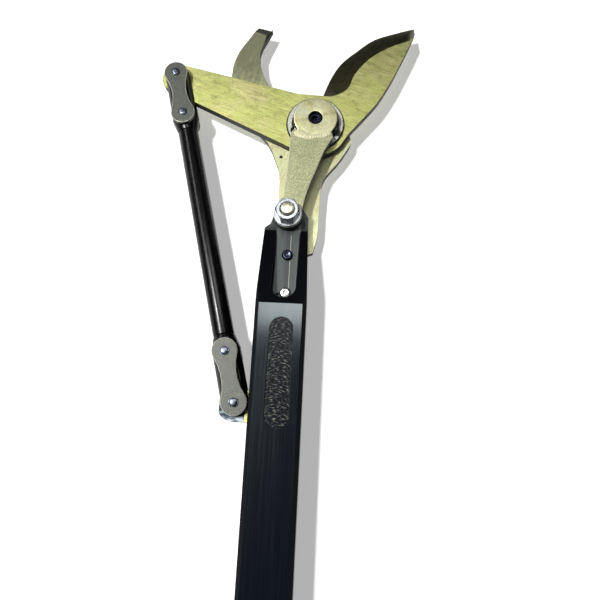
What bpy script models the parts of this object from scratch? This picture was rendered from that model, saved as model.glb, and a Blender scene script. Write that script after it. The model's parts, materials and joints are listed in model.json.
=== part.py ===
"""Hydraulic lopper: a bypass cutting head worked by a push rod and a piston inside a square bar.

The tool lies on its back. +Y runs along the bar towards the jaws, +X is the blade's side,
+Z is the front. Y = 0 is where the bar's front ramp begins and Z = 0 is the bar's back face.
Sizes are in millimetres and become metres in the meshes.
"""
import math

import bmesh
import bpy
from mathutils import Matrix, Vector

MM = 0.001

# Clearances
fit = 0.3              # gap between pieces that touch or sit in each other
blade_gap = 0.4        # the blade passes this far in front of the hook
slide_gap = 0.4        # lug in its slot, each side

# Square bar that is the tool's body
bar = 38.0
bar_chamfer = 3.0
bar_length = 470.0     # from the ramp to the bar's handle end
ramp_length = 61.0     # along the bar, from full height down to the tongue
tongue_length = 26.0   # past the ramp
tongue_taper = 1.9     # each side narrows this much along the ramp
tongue_relief = 7.5    # the tongue's left side gives way to the lever
tongue_slot_width = 19.2
tongue_slot_start = 4.5
head_offset = 1.5      # the front slot and the recess stand right of the bar's middle
stud_offset = 1.0
tail_offset = 2.0      # screw and pin of the hook's tail
slot_lean = 1.2        # degrees that the front slot leans to the right
tail_slot_start = 3.0
tail_half = 10.8       # half the width of the hook's tail
recess_width = 17.8
recess_start = 10.0    # label recess, from the ramp down the bar
recess_length = 79.0
recess_depth = 0.8

# Cutting head
pivot_x = 18.9
pivot_y = 155.6
blade_thick = 6.5
hook_thick = 6.0
hub_radius = 28.2
facet_reach = 13.0     # how far the beak's ground facets reach past their edges
hub_bore = 22.0
edge_land = 0.6        # thickness left along the ground edge
lever_arm = 125.5
lever_rest = 161.6     # degrees, direction of the lever pin from the pivot
lever_eye = 13.4
ring_radius = 24.2
ring_thick = 1.75
disc_radius = 18.1
disc_round = 3.4       # the disc's front edge is rounded off this far
arm_thick = 8.0
arm_eye = 11.0
pivot_pin = 11.0
pivot_recess = 2.5
pivot_washer_radius = 13.0
washer_thick = 1.6

# Fasteners
stud_y = 71.7
stud = 10.0
stud_head = 16.0
stud_head_height = 4.0
nut_across = 17.0
nut_height = 8.0
tail_screw_y = 40.7
tail_pin_y = 10.5
tail_bolt = 6.0
tail_screw_head = 8.4
tail_pin_head = 8.8
tail_head_height = 2.4
tail_bolt_floor = 3.0  # left under the tail's blind holes

# Push rod with its forks and chain side plates
rod_length = 276.9     # lug pin to lever pin
rod_diameter = 16.4
rod_bore = 10.6
fork_diameter = 22.0
fork_flats = 16.0
fork_slot = 7.6
fork_slot_depth = 30.5
fork_body = 40.0       # from the eye to the shoulder's start
fork_shoulder = 11.0
fork_spigot = 14.0
link_pitch = 38.1
link_radius = 9.7
link_waist = 5.8
link_thick = 3.0
link_pin = 6.0
rivet_head = 7.3
rivet_dome = 1.2

# Carriage, piston and cylinder
bore = 24.0
bore_end = 46.0        # the bore stops this far below the ramp
lug_reach = 11.24      # lug pin from the bar's side
lug_thick = 7.0
lug_round = 14.2       # the lug's lower corner, about its pin
lug_left = 11.6        # the lug's flat outer side, from its pin
lug_above = 8.75
stroke = 148.0
carriage_length = 40.0
carriage_lead = 17.0   # carriage's head end, from the lug pin
bush_wall = 1.4
piston_rod_diameter = 12.0
rod_socket = 20.0
piston_length = 20.0
piston_thread = 8.0
piston_nut_height = 6.0
gland_length = 20.0
gland_gap = 3.0
piston_gap = 6.0
ring_groove = 3.6
groove_depth = 2.0

# Pole and handle
cap_thick = 10.0
cap_spigot = 12.0
cap_screw = 4.0
cap_screw_head = 6.8
cap_screw_reach = 14.5
socket_length = 30.0
socket_wall = 2.2
pole_diameter = 28.0
pole_wall = 2.0
pole_length = 390.0
pole_screw = 5.0
pipe_diameter = 6.0
pipe_wall = 1.0
pipe_spread = 5.0
grip_start = 118.0     # front grip, from the cap
grip_length = 140.0
grip_thick = 4.0
grip_ribs = 4
handle_width = 36.0
handle_length = 150.0
handle_round = 10.0
handle_socket = 16.0
lever_pivot_out = 7.0  # trigger pivot, from the handle's side
lever_pivot_back = 16.0
trigger_length = 118.0
trigger_width = 20.0
trigger_thick = 4.0
trigger_lift = 7.0
trigger_eye = 5.0
trigger_ear = 3.4
trigger_pin = 4.0
stem_diameter = 8.0
stem_back = 40.0
stem_depth = 16.0
port_spread = 9.5
port_diameter = 12.0
port_depth = 16.0
port_hex = 17.0
port_hex_height = 8.0
nose_length = 24.0

# Outlines of the head's plates, taken between their round ends. The hook's and the blade's are
# measured from the pivot and the arm's from the stud. A facet of the hook's beak has the two ends
# of its edge on the front face and the slope that falls away to the left of it.
hook_back = ((-54.5, 99.6), (-61.2, 87.7), (-67.2, 78.1), (-71.9, 67.8), (-74.4, 56.0),
             (-74.0, 42.0), (-68.0, 24.0), (-54.0, 2.0), (-39.6, -13.9), (-32.2, -29.0),
             (-28.2, -41.3), (-27.4, -55.1), (-27.1, -66.0))
hook_beak = ((-41.8, 97.0),)
hook_facets = (((-57.4, 94.3), (-47.2, 90.7), 0.33), ((-47.2, 90.7), (-49.3, 79.5), 0.60))
hook_jaw = ((-49.6, 79.8), (-51.3, 73.0), (-51.4, 68.5), (-50.0, 59.4), (-47.1, 50.4),
            (-42.0, 40.7), (-32.5, 32.0), (-20.0, 26.5), (-8.0, 24.6))
hook_heel = ((29.0, -4.0), (30.5, -11.0), (27.4, -18.1), (19.5, -31.0), (11.0, -42.0),
             (7.2, -52.0), (6.4, -66.7), (6.0, -81.2), (5.7, -95.4), (2.6, -109.5))
blade_edge = ((4.9, 29.6), (10.8, 46.6), (19.5, 62.7), (33.3, 76.2), (48.6, 88.6),
              (71.8, 97.3), (83.0, 100.7))
blade_grind = ((11.2, 26.9), (20.5, 30.2), (27.2, 36.9), (31.4, 48.5), (43.5, 64.2),
               (60.3, 76.0), (78.0, 83.6))
blade_back = ((82.4, 89.9), (77.2, 76.7), (68.1, 55.4), (60.7, 39.4), (50.6, 21.4),
              (39.3, 6.8), (27.6, -7.8))
lever_shoulder = ((-14.8, 28.4), (-4.1, 27.9))
arm_left = ((-4.0, 15.0), (-2.6, 35.0), (-1.7, 54.0), (-1.6, 69.2))
arm_right = ((32.7, 67.0), (27.0, 56.8), (23.2, 46.9), (19.6, 36.2), (16.0, 26.5), (12.7, 14.0))
arm_top_end = ((3.0, 76.0), (30.0, 76.0))

# Heights that follow from the plates' thicknesses
middle = bar / 2
blade_low = middle - blade_thick / 2
blade_top = middle + blade_thick / 2
hook_top = blade_low - blade_gap
hook_low = hook_top - hook_thick
ring_low = blade_top + fit
ring_top = ring_low + ring_thick
arm_low = ring_top + fit
arm_top = arm_low + arm_thick
tongue_top = arm_low - fit

# Places that follow from the linkage
pivot = Vector((pivot_x, pivot_y))
stud_at = Vector((stud_offset, stud_y))
rest_angle = math.radians(lever_rest)
lever_pin = pivot + lever_arm * Vector((math.cos(rest_angle), math.sin(rest_angle)))
lug_x = -(bar / 2 + lug_reach)
lug_pin = Vector((lug_x, lever_pin.y - math.sqrt(rod_length ** 2 - (lever_pin.x - lug_x) ** 2)))
rod_way = (lever_pin - lug_pin).normalized()

carriage_front = lug_pin.y + carriage_lead
carriage_back = carriage_front - carriage_length
gland_front = carriage_back - stroke - gland_gap
gland_back = gland_front - gland_length
piston_front = gland_back - piston_gap
piston_back = piston_front - piston_length
cap_front = -bar_length - fit
cap_back = cap_front - cap_thick
pole_front = cap_back - fit
pole_back = pole_front - pole_length
handle_front = pole_back + handle_socket - fit
handle_back = handle_front - handle_length
lever_pivot = Vector((-(handle_width / 2 + lever_pivot_out), handle_back + lever_pivot_back))


def clear_scene():
    for item in list(bpy.data.objects):
        bpy.data.objects.remove(item, do_unlink=True)


def finish(name, colour, roughness, metallic):
    """One Principled material."""
    material = bpy.data.materials.new(name)
    material.use_nodes = True
    shader = material.node_tree.nodes["Principled BSDF"]
    shader.inputs["Base Color"].default_value = (*colour, 1.0)
    shader.inputs["Roughness"].default_value = roughness
    shader.inputs["Metallic"].default_value = metallic
    return material


def arc(centre, radius, start, end, step=12.0):
    """Points on an arc, angles in degrees, both ends included."""
    count = max(1, math.ceil(abs(end - start) / step))
    turns = [math.radians(start + (end - start) * i / count) for i in range(count + 1)]
    return [Vector((centre[0] + radius * math.cos(a), centre[1] + radius * math.sin(a))) for a in turns]


def smooth_curve(points, steps=3):
    """A Catmull-Rom curve through a few points, with steps pieces between neighbours."""
    knots = [Vector(p) for p in points]
    padded = [2 * knots[0] - knots[1]] + knots + [2 * knots[-1] - knots[-2]]
    curve = [knots[0]]
    for a, b, c, d in zip(padded, padded[1:], padded[2:], padded[3:]):
        for i in range(1, steps + 1):
            t = i / steps
            curve.append(0.5 * (2 * b + (c - a) * t + (2 * a - 5 * b + 4 * c - d) * t * t
                                + (3 * b - a - 3 * c + d) * t ** 3))
    return curve


def angle_of(vector):
    return math.degrees(math.atan2(vector.y, vector.x))


def tangent_from(point, centre, radius, side):
    """Where the line from a point touches a circle; side is +1 or -1."""
    away = Vector(point) - Vector(centre)
    turn = side * math.acos(radius / away.length)
    way = math.atan2(away.y, away.x) + turn
    return Vector(centre) + radius * Vector((math.cos(way), math.sin(way)))


def shared_tangent(first, first_radius, second, second_radius, side):
    """The two touching points of a line along two circles, on one side of them."""
    span = Vector(second) - Vector(first)
    turn = side * math.acos((first_radius - second_radius) / span.length)
    way = math.atan2(span.y, span.x) + turn
    out = Vector((math.cos(way), math.sin(way)))
    return Vector(first) + first_radius * out, Vector(second) + second_radius * out


def add_mesh(name, points, faces, material, place=None):
    """An object from points in millimetres, with its faces turned outwards."""
    mesh = bpy.data.meshes.new(name)
    mesh.from_pydata([Vector(p) * MM for p in points], [], faces)
    shell = bmesh.new()
    shell.from_mesh(mesh)
    bmesh.ops.remove_doubles(shell, verts=shell.verts, dist=0.00001)
    bmesh.ops.recalc_face_normals(shell, faces=shell.faces)
    shell.to_mesh(mesh)
    shell.free()
    if material:
        mesh.materials.append(material)
    item = bpy.data.objects.new(name, mesh)
    bpy.context.scene.collection.objects.link(item)
    if place:
        item.matrix_world = place
    return item


def shade(item):
    item.data.shade_smooth()
    item.data.set_sharp_from_angle(angle=math.radians(32))


def extruded(name, loop, shift, material=None):
    """A closed loop of 3-D points carried along a vector."""
    base = [Vector(p) for p in loop]
    count = len(base)
    points = base + [p + Vector(shift) for p in base]
    ends = [list(range(count)), list(range(count, 2 * count))]
    sides = [(i, (i + 1) % count, count + (i + 1) % count, count + i) for i in range(count)]
    return add_mesh(name, points, ends + sides, material)


def plate(name, outline, low, high, material=None):
    """A plan outline given a thickness along Z."""
    return extruded(name, [(p[0], p[1], low) for p in outline], (0, 0, high - low), material)


def block(name, low, high, material=None):
    corners = [(low[0], low[1]), (high[0], low[1]), (high[0], high[1]), (low[0], high[1])]
    return plate(name, corners, low[2], high[2], material)


def aim(origin, way, up=(0, 0, 1)):
    """Placement whose local Z runs along way and local Y towards up."""
    z = Vector(way).normalized()
    x = Vector(up).cross(z).normalized()
    y = z.cross(x)
    turn = Matrix((x, y, z)).transposed().to_4x4()
    return Matrix.Translation(Vector(origin) * MM) @ turn


def turned(name, profile, place, material=None, sides=16):
    """A profile of (radius, distance) turned about local Z.

    A profile that starts and ends on the axis is solid; any other is a ring and is closed on itself.
    """
    solid = profile[0][0] == 0 and profile[-1][0] == 0
    points, rings = [], []
    for radius, along in profile:
        if radius == 0:
            rings.append([len(points)] * sides)
            points.append((0, 0, along))
        else:
            rings.append(range(len(points), len(points) + sides))
            for i in range(sides):
                turn = 2 * math.pi * (i + 0.5) / sides
                points.append((radius * math.cos(turn), radius * math.sin(turn), along))
    pairs = list(zip(rings, rings[1:]))
    if not solid:
        pairs.append((rings[-1], rings[0]))
    faces = []
    for here, there in pairs:
        for i in range(sides):
            j = (i + 1) % sides
            face = [here[i], here[j], there[j], there[i]]
            face = [v for k, v in enumerate(face) if v != face[k - 1]]
            if len(face) > 2:
                faces.append(face)
    return add_mesh(name, points, faces, material, place)


def rod_profile(radius, length, chamfer=0.4):
    return [(0, 0), (radius - chamfer, 0), (radius, chamfer),
            (radius, length - chamfer), (radius - chamfer, length), (0, length)]


def ring_profile(outer, inner, length):
    return [(inner, 0), (outer, 0), (outer, length), (inner, length)]


def drill(name, radius, start, way, depth, sides=14):
    """A round cutter from a point along a direction."""
    up = (0, 0, 1) if abs(Vector(way).normalized().z) < 0.9 else (0, 1, 0)
    profile = [(0, 0), (radius, 0), (radius, depth), (0, depth)]
    return turned(name, profile, aim(start, way, up), sides=sides)


def carve(target, *cutters, operation="DIFFERENCE"):
    """Apply exact Booleans to the target and delete the cutters."""
    for cutter in cutters:
        cutter.hide_render = True
        cutter.display_type = "WIRE"
        step = target.modifiers.new(cutter.name, "BOOLEAN")
        step.operation = operation
        step.solver = "EXACT"
        step.object = cutter
    bpy.context.view_layer.update()
    graph = bpy.context.evaluated_depsgraph_get()
    shaped = bpy.data.meshes.new_from_object(target.evaluated_get(graph))
    target.modifiers.clear()
    target.data = shaped
    shell = bmesh.new()
    shell.from_mesh(shaped)
    bmesh.ops.dissolve_limit(shell, angle_limit=math.radians(0.05), verts=shell.verts, edges=shell.edges)
    bmesh.ops.remove_doubles(shell, verts=shell.verts, dist=0.000004)
    bmesh.ops.triangulate(shell, faces=[f for f in shell.faces if len(f.verts) > 4])
    shell.to_mesh(shaped)
    shell.free()
    for cutter in cutters:
        bpy.data.objects.remove(cutter, do_unlink=True)
    return target


def hold(empty, *items):
    """Parent pieces to an empty on their joint without moving them."""
    bpy.context.view_layer.update()
    for item in items:
        item.parent = empty
        item.matrix_parent_inverse = empty.matrix_world.inverted()


def joint_empty(name, at):
    empty = bpy.data.objects.new(name, None)
    empty.empty_display_size = 0.02
    empty.location = Vector(at) * MM
    bpy.context.scene.collection.objects.link(empty)
    return empty


def hexagon(across, centre=(0, 0), turn=0.0):
    corner = across / math.sqrt(3)
    return arc(centre, corner, turn, turn + 300, 60)


def hex_piece(name, across, height, place, material, bottom_chamfer=1.4, sides=12, turn=0.0):
    """A hexagon whose corners are turned off at its ends."""
    wide = across / math.sqrt(3) + 0.2
    flat = across / 2 * 0.96
    rim = [(0, 0), (flat, 0), (wide, bottom_chamfer), (wide, height - 1.4), (flat, height), (0, height)]
    if bottom_chamfer == 0:
        rim = [(0, -1)] + [(wide, -1)] + rim[3:]
    piece = turned(name, rim, place, material, sides)
    cutter = plate("hexagon", hexagon(across, turn=turn), -0.5 if bottom_chamfer else 0.0, height + 0.5)
    cutter.matrix_world = place
    return carve(piece, cutter, operation="INTERSECT")


def body_bar(material):
    """The square bar: ramp, tongue, tail slot, cylinder bore, lug slot and label recess."""
    half, corner = bar / 2, bar / 2 - bar_chamfer
    section = [(corner, 0), (half, bar_chamfer), (half, bar - bar_chamfer), (corner, bar),
               (-corner, bar), (-half, bar - bar_chamfer), (-half, bar_chamfer), (-corner, 0)]
    end = ramp_length + tongue_length
    outline = [(x, -bar_length, z) for x, z in section]
    body = extruded("body_bar", outline, (0, bar_length + end, 0), material)

    narrow = half - tongue_taper
    taper_start = 2.0
    step = ramp_length + 2.0
    relief = narrow - tongue_relief
    nose = arc((stud_at.x + 0.5, end - arm_eye), arm_eye, 20, 160, 20)
    right = [(half + 2, -bar_length - 5), (half + 2, taper_start), (half, taper_start), (narrow, step),
             (narrow, step + 9)]
    left = [(-relief, step + 13), (-relief - 3, step + 3.5), (-narrow, step), (-half, taper_start),
            (-half - 2, taper_start), (-half - 2, -bar_length - 5)]
    plan = right + nose + left
    carve(body, plate("plan", plan, -1, bar + 1), operation="INTERSECT")

    slope = (bar - tongue_top) / ramp_length
    above = [(0, -1 / slope, bar + 1), (0, ramp_length, tongue_top), (0, end + 5, tongue_top),
             (0, end + 5, bar + 5), (0, -1 / slope, bar + 5)]
    ramp = extruded("ramp", [(-bar, y, z) for _, y, z in above], (2 * bar, 0, 0))

    slot_half = tongue_slot_width / 2
    slot_round = arc((head_offset, tongue_slot_start + slot_half), slot_half, 180, 360, 15)
    slot_open = [(head_offset + slot_half, end + 9), (head_offset - slot_half, end + 9)]
    slot_turn = Vector((head_offset, tail_screw_y))
    lean = Matrix.Rotation(-math.radians(slot_lean), 2)
    slot_outline = [slot_turn + lean @ (Vector(p) - slot_turn) for p in slot_round + slot_open]
    front_slot = plate("front_slot", slot_outline, tongue_top - 0.01, bar + 2)
    tail_slot = block("tail_slot", (-bar, tail_slot_start, hook_low - fit), (bar, end + 5, hook_top + fit))
    carve(body, ramp)
    carve(body, front_slot)
    carve(body, tail_slot)

    bore_start = (0, -bar_length - 5, middle)
    carve(body, drill("bore", bore / 2, bore_start, (0, 1, 0), bar_length + 5 - bore_end, 24))
    half_slot = lug_thick / 2 + slide_gap
    slot_back = lug_pin.y - lug_round - stroke - half_slot
    slot_front = lug_pin.y + lug_above + half_slot
    lug_slot = block("lug_slot", (-half - 5, slot_back, middle - half_slot),
                     (-bore / 4, slot_front, middle + half_slot))
    carve(body, lug_slot)

    recess_half = recess_width / 2
    top, low = -recess_start - recess_half, -recess_start - recess_length + recess_half
    stadium = arc((head_offset, top), recess_half, 0, 180, 18)
    stadium += arc((head_offset, low), recess_half, 180, 360, 18)
    carve(body, plate("recess", stadium, bar - recess_depth, bar + 2))

    shank = stud / 2 + fit
    seat_depth = 1 + stud_head_height + 2 * fit
    carve(body, drill("stud_hole", shank, (*stud_at, -1), (0, 0, 1), bar),
          drill("stud_seat", stud_head / 2 + fit, (*stud_at, -1), (0, 0, 1), seat_depth))
    for y in (tail_screw_y, tail_pin_y):
        foot = (tail_offset, y, tail_bolt_floor)
        carve(body, drill("tail_hole", tail_bolt / 2 + fit, foot, (0, 0, 1), bar))
    for x in (-cap_screw_reach, cap_screw_reach):
        for z in (-cap_screw_reach, cap_screw_reach):
            mouth = (x, -bar_length - 2, middle + z)
            carve(body, drill("cap_hole", cap_screw / 2 + fit, mouth, (0, 1, 0), 16, 14))
    return body


def facet_wedge(start, end, slope):
    """Cutter that grinds the hook's front face down on the left of a line, seen along it."""
    along = (end - start).normalized()
    out = Vector((-along.y, along.x))
    first = start - along * facet_reach / 2
    section = [(-2.0, 2.0 * slope), (facet_reach, -facet_reach * slope), (facet_reach, 4.0), (-2.0, 4.0)]
    loop = [(*(first + out * u), hook_top + z) for u, z in section]
    length = (end - start).length + facet_reach * 0.7
    return extruded("facet", loop, (*(along * length), 0))


def hook_plate(material):
    """Fixed jaw: a beaked hook, a round about the pivot and a tail that goes into the bar."""
    left, right = stud_offset - tail_half, stud_offset + tail_half
    around = arc((0, 0), hub_radius - 2.4, 100, 10, 15)
    front = [Vector(p) for p in hook_beak] + smooth_curve(hook_jaw, 2) + around + smooth_curve(hook_heel, 2)
    back = smooth_curve(hook_back, 2)[::-1]
    foot = tail_slot_start + fit
    tail = [(right, pivot.y - 113.0), (right, foot + 2), (right - 2, foot),
            (left + 2, foot), (left, foot + 2), (left, pivot.y - 78.0)]
    outline = [pivot + p for p in front] + [Vector(p) for p in tail] + [pivot + p for p in back]
    hook = plate("hook_plate", outline, hook_low, hook_top, material)

    cuts = [drill("pivot_hole", pivot_pin / 2 + fit, (*pivot, 0), (0, 0, 1), bar),
            drill("stud_hole", stud / 2 + fit, (*stud_at, 0), (0, 0, 1), bar)]
    cuts += [facet_wedge(pivot + Vector(a), pivot + Vector(b), slope) for a, b, slope in hook_facets]
    for y in (tail_screw_y, tail_pin_y):
        cuts.append(drill("tail_hole", tail_bolt / 2 + fit, (tail_offset, y, 0), (0, 0, 1), bar))
    return carve(hook, *cuts)


def cutting_blade(material):
    """Blade and lever in one plate: flat behind, ground from the front down to its cutting edge."""
    edge, grind = smooth_curve(blade_edge, 3), smooth_curve(blade_grind, 3)
    back = smooth_curve(blade_back, 2)
    shoulder = [Vector(p) for p in lever_shoulder]
    eye = lever_pin - pivot
    low_hub, low_eye = shared_tangent((0, 0), hub_radius, eye, lever_eye, 1)
    top_eye = tangent_from(shoulder[0], eye, lever_eye, 1)
    hub_round = arc((0, 0), hub_radius, -30, angle_of(low_hub), 12)
    low_turn, top_turn = angle_of(low_eye - eye) % 360, angle_of(top_eye - eye)
    eye_round = arc(eye, lever_eye, low_turn, top_turn, 12)
    rest = back + hub_round[1:] + eye_round + shoulder

    count, total = len(edge), len(edge) + len(rest)
    under = [Vector((*(pivot + p), blade_low)) for p in edge + rest]
    rim = [Vector((*(pivot + p), blade_low + edge_land)) for p in edge]
    rim += [Vector((*(pivot + p), blade_top)) for p in rest]
    crest = [Vector((*(pivot + p), blade_top)) for p in grind]
    points = under + rim + crest
    faces = [list(range(total))]
    faces += [(i, (i + 1) % total, total + (i + 1) % total, total + i) for i in range(total)]
    faces += [(total + i, total + i + 1, 2 * total + i + 1, 2 * total + i) for i in range(count - 1)]
    faces.append((total + count - 1, total + count, 2 * total + count - 1))
    faces.append((2 * total - 1, total, 2 * total))
    faces.append(list(range(total + count, 2 * total)) + [2 * total + i for i in range(count)])
    blade = add_mesh("cutting_blade", points, faces, material)
    return carve(blade, drill("hub_hole", hub_bore / 2, (*pivot, 0), (0, 0, 1), bar, 32),
                 drill("eye_hole", link_pin / 2 + fit + bush_wall + fit, (*lever_pin, 0), (0, 0, 1), bar))


def front_arm(material):
    """Strap that carries the pivot's front end, bolted to the tongue and welded to the disc."""
    base = arc((0, 0), arm_eye, 15, -205, 15)
    top = [Vector(p) for p in arm_top_end]
    outline = [stud_at + p for p in base + smooth_curve(arm_left, 2) + top + smooth_curve(arm_right, 2)]
    arm = plate("front_arm", outline, arm_low, arm_top, material)
    return carve(arm, drill("disc_room", disc_radius + fit, (*pivot, 0), (0, 0, 1), 2 * bar, 48),
                 drill("stud_hole", stud / 2 + fit, (*stud_at, 0), (0, 0, 1), 2 * bar))


def head_fasteners(steel, dark, zinc):
    """Pivot bolt, disc, rings, stud, nut and the two tail fasteners."""
    at = (*pivot, 0)
    bolt_top = arm_top - pivot_recess
    washer_low = hook_low - fit - washer_thick
    rounding = arc((disc_radius - disc_round, arm_top - disc_round), disc_round, 0, 90, 30)
    inside = pivot_pin / 2 + fit
    profile = [(inside, arm_low), (disc_radius, arm_low)] + [tuple(p) for p in rounding] + [(inside, arm_top)]
    turned("hub_disc", profile, aim(at, (0, 0, 1), (0, 1, 0)), zinc, 32)
    turned("thrust_ring", ring_profile(ring_radius, hub_bore / 2, ring_thick),
           aim((*pivot, ring_low), (0, 0, 1), (0, 1, 0)), steel, 36)
    turned("pivot_washer", ring_profile(pivot_washer_radius, pivot_pin / 2 + fit, washer_thick),
           aim((*pivot, washer_low), (0, 0, 1), (0, 1, 0)), steel, 28)
    head_top = washer_low - fit
    place = aim((*pivot, head_top), (0, 0, -1), (0, 1, 0))
    bolt = hex_piece("pivot_bolt", 21.0, head_top - 1.2, place, dark, bottom_chamfer=0)
    shank = drill("shank", pivot_pin / 2, (*pivot, head_top - 1), (0, 0, 1), bolt_top - head_top + 1, 32)
    socket = plate("socket", [pivot + p for p in hexagon(6.0)], bolt_top - 3.0, bolt_top + 2)
    carve(bolt, shank, operation="UNION")
    carve(bolt, socket)

    stud_bottom = fit
    stud_end = arm_top + 3 * fit + washer_thick + nut_height + 2.6
    head = stud_head / 2
    length = stud_end - stud_bottom
    profile = [(0, 0), (head - 0.6, 0), (head, 0.6), (head, stud_head_height), (stud / 2, stud_head_height),
               (stud / 2, length - 1.2), (stud / 2 - 1.2, length), (0, length)]
    turned("arm_bolt", profile, aim((*stud_at, stud_bottom), (0, 0, 1), (0, 1, 0)), steel)
    turned("arm_washer", ring_profile(10.2, stud / 2 + fit, washer_thick),
           aim((*stud_at, arm_top + fit), (0, 0, 1), (0, 1, 0)), steel, 28)
    nut_low = arm_top + 2 * fit + washer_thick
    place = aim((*stud_at, nut_low), (0, 0, 1), (0, 1, 0))
    nut = hex_piece("arm_nut", nut_across, nut_height, place, steel, sides=24)
    carve(nut, drill("thread", stud / 2 + fit, (*stud_at, nut_low - 1), (0, 0, 1), nut_height + 2))

    depth = tongue_top + fit - tail_bolt_floor - fit
    for name, y, head_size, material in (("tail_screw", tail_screw_y, tail_screw_head, dark),
                                         ("tail_pin", tail_pin_y, tail_pin_head, steel)):
        big, small = head_size / 2, tail_bolt / 2
        rise = tail_head_height
        profile = [(0, 0), (small - 0.5, 0), (small, 0.5), (small, depth), (big, depth),
                   (big, depth + rise * 0.5), (big * 0.86, depth + rise * 0.85), (big * 0.6, depth + rise),
                   (0, depth + rise)]
        place = aim((tail_offset, y, tail_bolt_floor + fit), (0, 0, 1), (0, 1, 0))
        piece = turned(name, profile, place, material)
        key = [Vector((tail_offset, y)) + p for p in hexagon(head_size * 0.42)]
        top = tail_bolt_floor + fit + depth + rise
        carve(piece, plate("key", key, top - 1.6, top + 1))


def link_outline():
    """Figure-8 side plate: two round ends and concave flanks that touch them."""
    half = link_pitch / 2
    flank = (half ** 2 + link_waist ** 2 - link_radius ** 2) / (2 * (link_radius - link_waist))
    reach = math.degrees(math.atan2(half, link_waist + flank))
    right = arc((link_waist + flank, half), flank, 180 + reach, 180 - reach, 10)
    top = arc((0, link_pitch), link_radius, -reach, 180 + reach, 18)
    left = arc((-link_waist - flank, half), flank, reach, -reach, 10)
    low = arc((0, 0), link_radius, 180 - reach, 360 + reach, 18)
    return right[:-1] + top[:-1] + left[:-1] + low[:-1]


def fork(name, at, way, material):
    """Turned end of the push rod: two ears, side flats, a shoulder and a spigot."""
    place = aim((*at, middle), (*way, 0))
    radius, flat = fork_diameter / 2, fork_flats / 2
    shoulder = fork_body + fork_shoulder
    spigot = rod_bore / 2 - fit
    profile = [(0, -radius), (radius, -radius), (radius, fork_body), (rod_diameter / 2, shoulder),
               (spigot, shoulder), (spigot, shoulder + fork_spigot), (0, shoulder + fork_spigot)]
    piece = turned(name, profile, place, material, 24)
    reach = shoulder + fork_spigot + 5
    nose = arc((0, 0), link_radius + 0.5, 180, 360, 15)
    outline = [(radius + 1, reach), (-radius - 1, reach), (-radius - 1, 12.0)] + nose + [(radius + 1, 12.0)]
    keep = extruded("keep", [(p[0], -radius - 1, p[1]) for p in outline], (0, fork_diameter + 2, 0))
    keep.matrix_world = place
    carve(piece, keep, operation="INTERSECT")
    flat_end = link_pitch + link_radius + 0.8
    cutters = []
    for side in (-1, 1):
        low, high = sorted((side * flat, side * (radius + 2)))
        cutters.append(block("flat", (-radius - 2, low, -radius - 5), (radius + 2, high, flat_end)))
    half = fork_slot / 2
    cutters.append(block("slot", (-radius - 2, -half, -radius - 5), (radius + 2, half, fork_slot_depth)))
    for along in (0, link_pitch):
        cross = Matrix.Translation((0, 0, along * MM)) @ Matrix.Rotation(math.radians(90), 4, "X")
        pin_room = link_pin / 2 + fit
        profile = [(0, -radius - 2), (pin_room, -radius - 2), (pin_room, radius + 2), (0, radius + 2)]
        cutters.append(turned("hole", profile, cross, sides=16))
    for cutter in cutters:
        cutter.matrix_world = place @ cutter.matrix_world
    return carve(piece, *cutters)


def push_rod(black, grey, steel):
    """Rod, forks, four side plates and their riveted pins, all one moving body."""
    start = fork_body + fork_shoulder + fit
    pieces = [fork("upper_fork", lever_pin, -rod_way, black), fork("lower_fork", lug_pin, rod_way, black)]
    place = aim((*(lug_pin + rod_way * start), middle), (*rod_way, 0))
    profile = ring_profile(rod_diameter / 2, rod_bore / 2, rod_length - 2 * start)
    pieces.append(turned("rod_bar", profile, place, black, 24))

    inner = fork_flats / 2 + fit
    for end, at, way in (("upper", lever_pin, -rod_way), ("lower", lug_pin, rod_way)):
        for side, height in (("front", middle + inner), ("back", middle - inner - link_thick)):
            across = Vector((-way.y, way.x))
            outline = [at + way * p.y + across * p.x for p in link_outline()]
            link = plate(f"{end}_link_{side}", outline, height, height + link_thick, grey)
            far = at + way * link_pitch
            carve(link, *[drill("hole", link_pin / 2 + fit, (*spot, height - 1), (0, 0, 1), link_thick + 2)
                          for spot in (at, far)])
            pieces.append(link)

    face = inner + link_thick + fit
    shank, head = link_pin / 2, rivet_head / 2
    dome = [(shank, face), (head, face), (head, face + rivet_dome * 0.3), (head * 0.6, face + rivet_dome),
            (0, face + rivet_dome)]
    mirrored = [(r, -z) for r, z in reversed(dome)]
    stub_start = fork_slot / 2 + fit
    stub = [(0, stub_start), (shank, stub_start)] + dome
    places = {"lug_pin": lug_pin, "lower_link_pin": lug_pin + rod_way * link_pitch,
              "upper_link_pin": lever_pin - rod_way * link_pitch}
    for name, at in places.items():
        pieces.append(turned(name, mirrored + dome, aim((*at, middle), (0, 0, 1), (0, 1, 0)), steel, 16))
    for name, way in (("lever_pin_front", 1), ("lever_pin_back", -1)):
        pieces.append(turned(name, stub, aim((*lever_pin, middle), (0, 0, way), (0, 1, 0)), steel, 16))
    hold(joint_empty("push_rod_joint", (*lug_pin, middle)), *pieces)


def grooved(radius, length, grooves, width):
    """Half profile of a solid cylinder with square grooves that start at the given places."""
    profile = [(0, 0), (radius - 0.4, 0), (radius, 0.4)]
    for start in grooves:
        profile += [(radius, start), (radius - groove_depth, start),
                    (radius - groove_depth, start + width), (radius, start + width)]
    return profile + [(radius, length - 0.4), (radius - 0.4, length), (0, length)]


def seal_ring(name, at, outer, material):
    inner = outer - groove_depth + fit
    outer += fit / 2
    width = ring_groove - 2 * fit
    return turned(name, ring_profile(outer, inner, width), aim(at, (0, -1, 0)), material)


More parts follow.
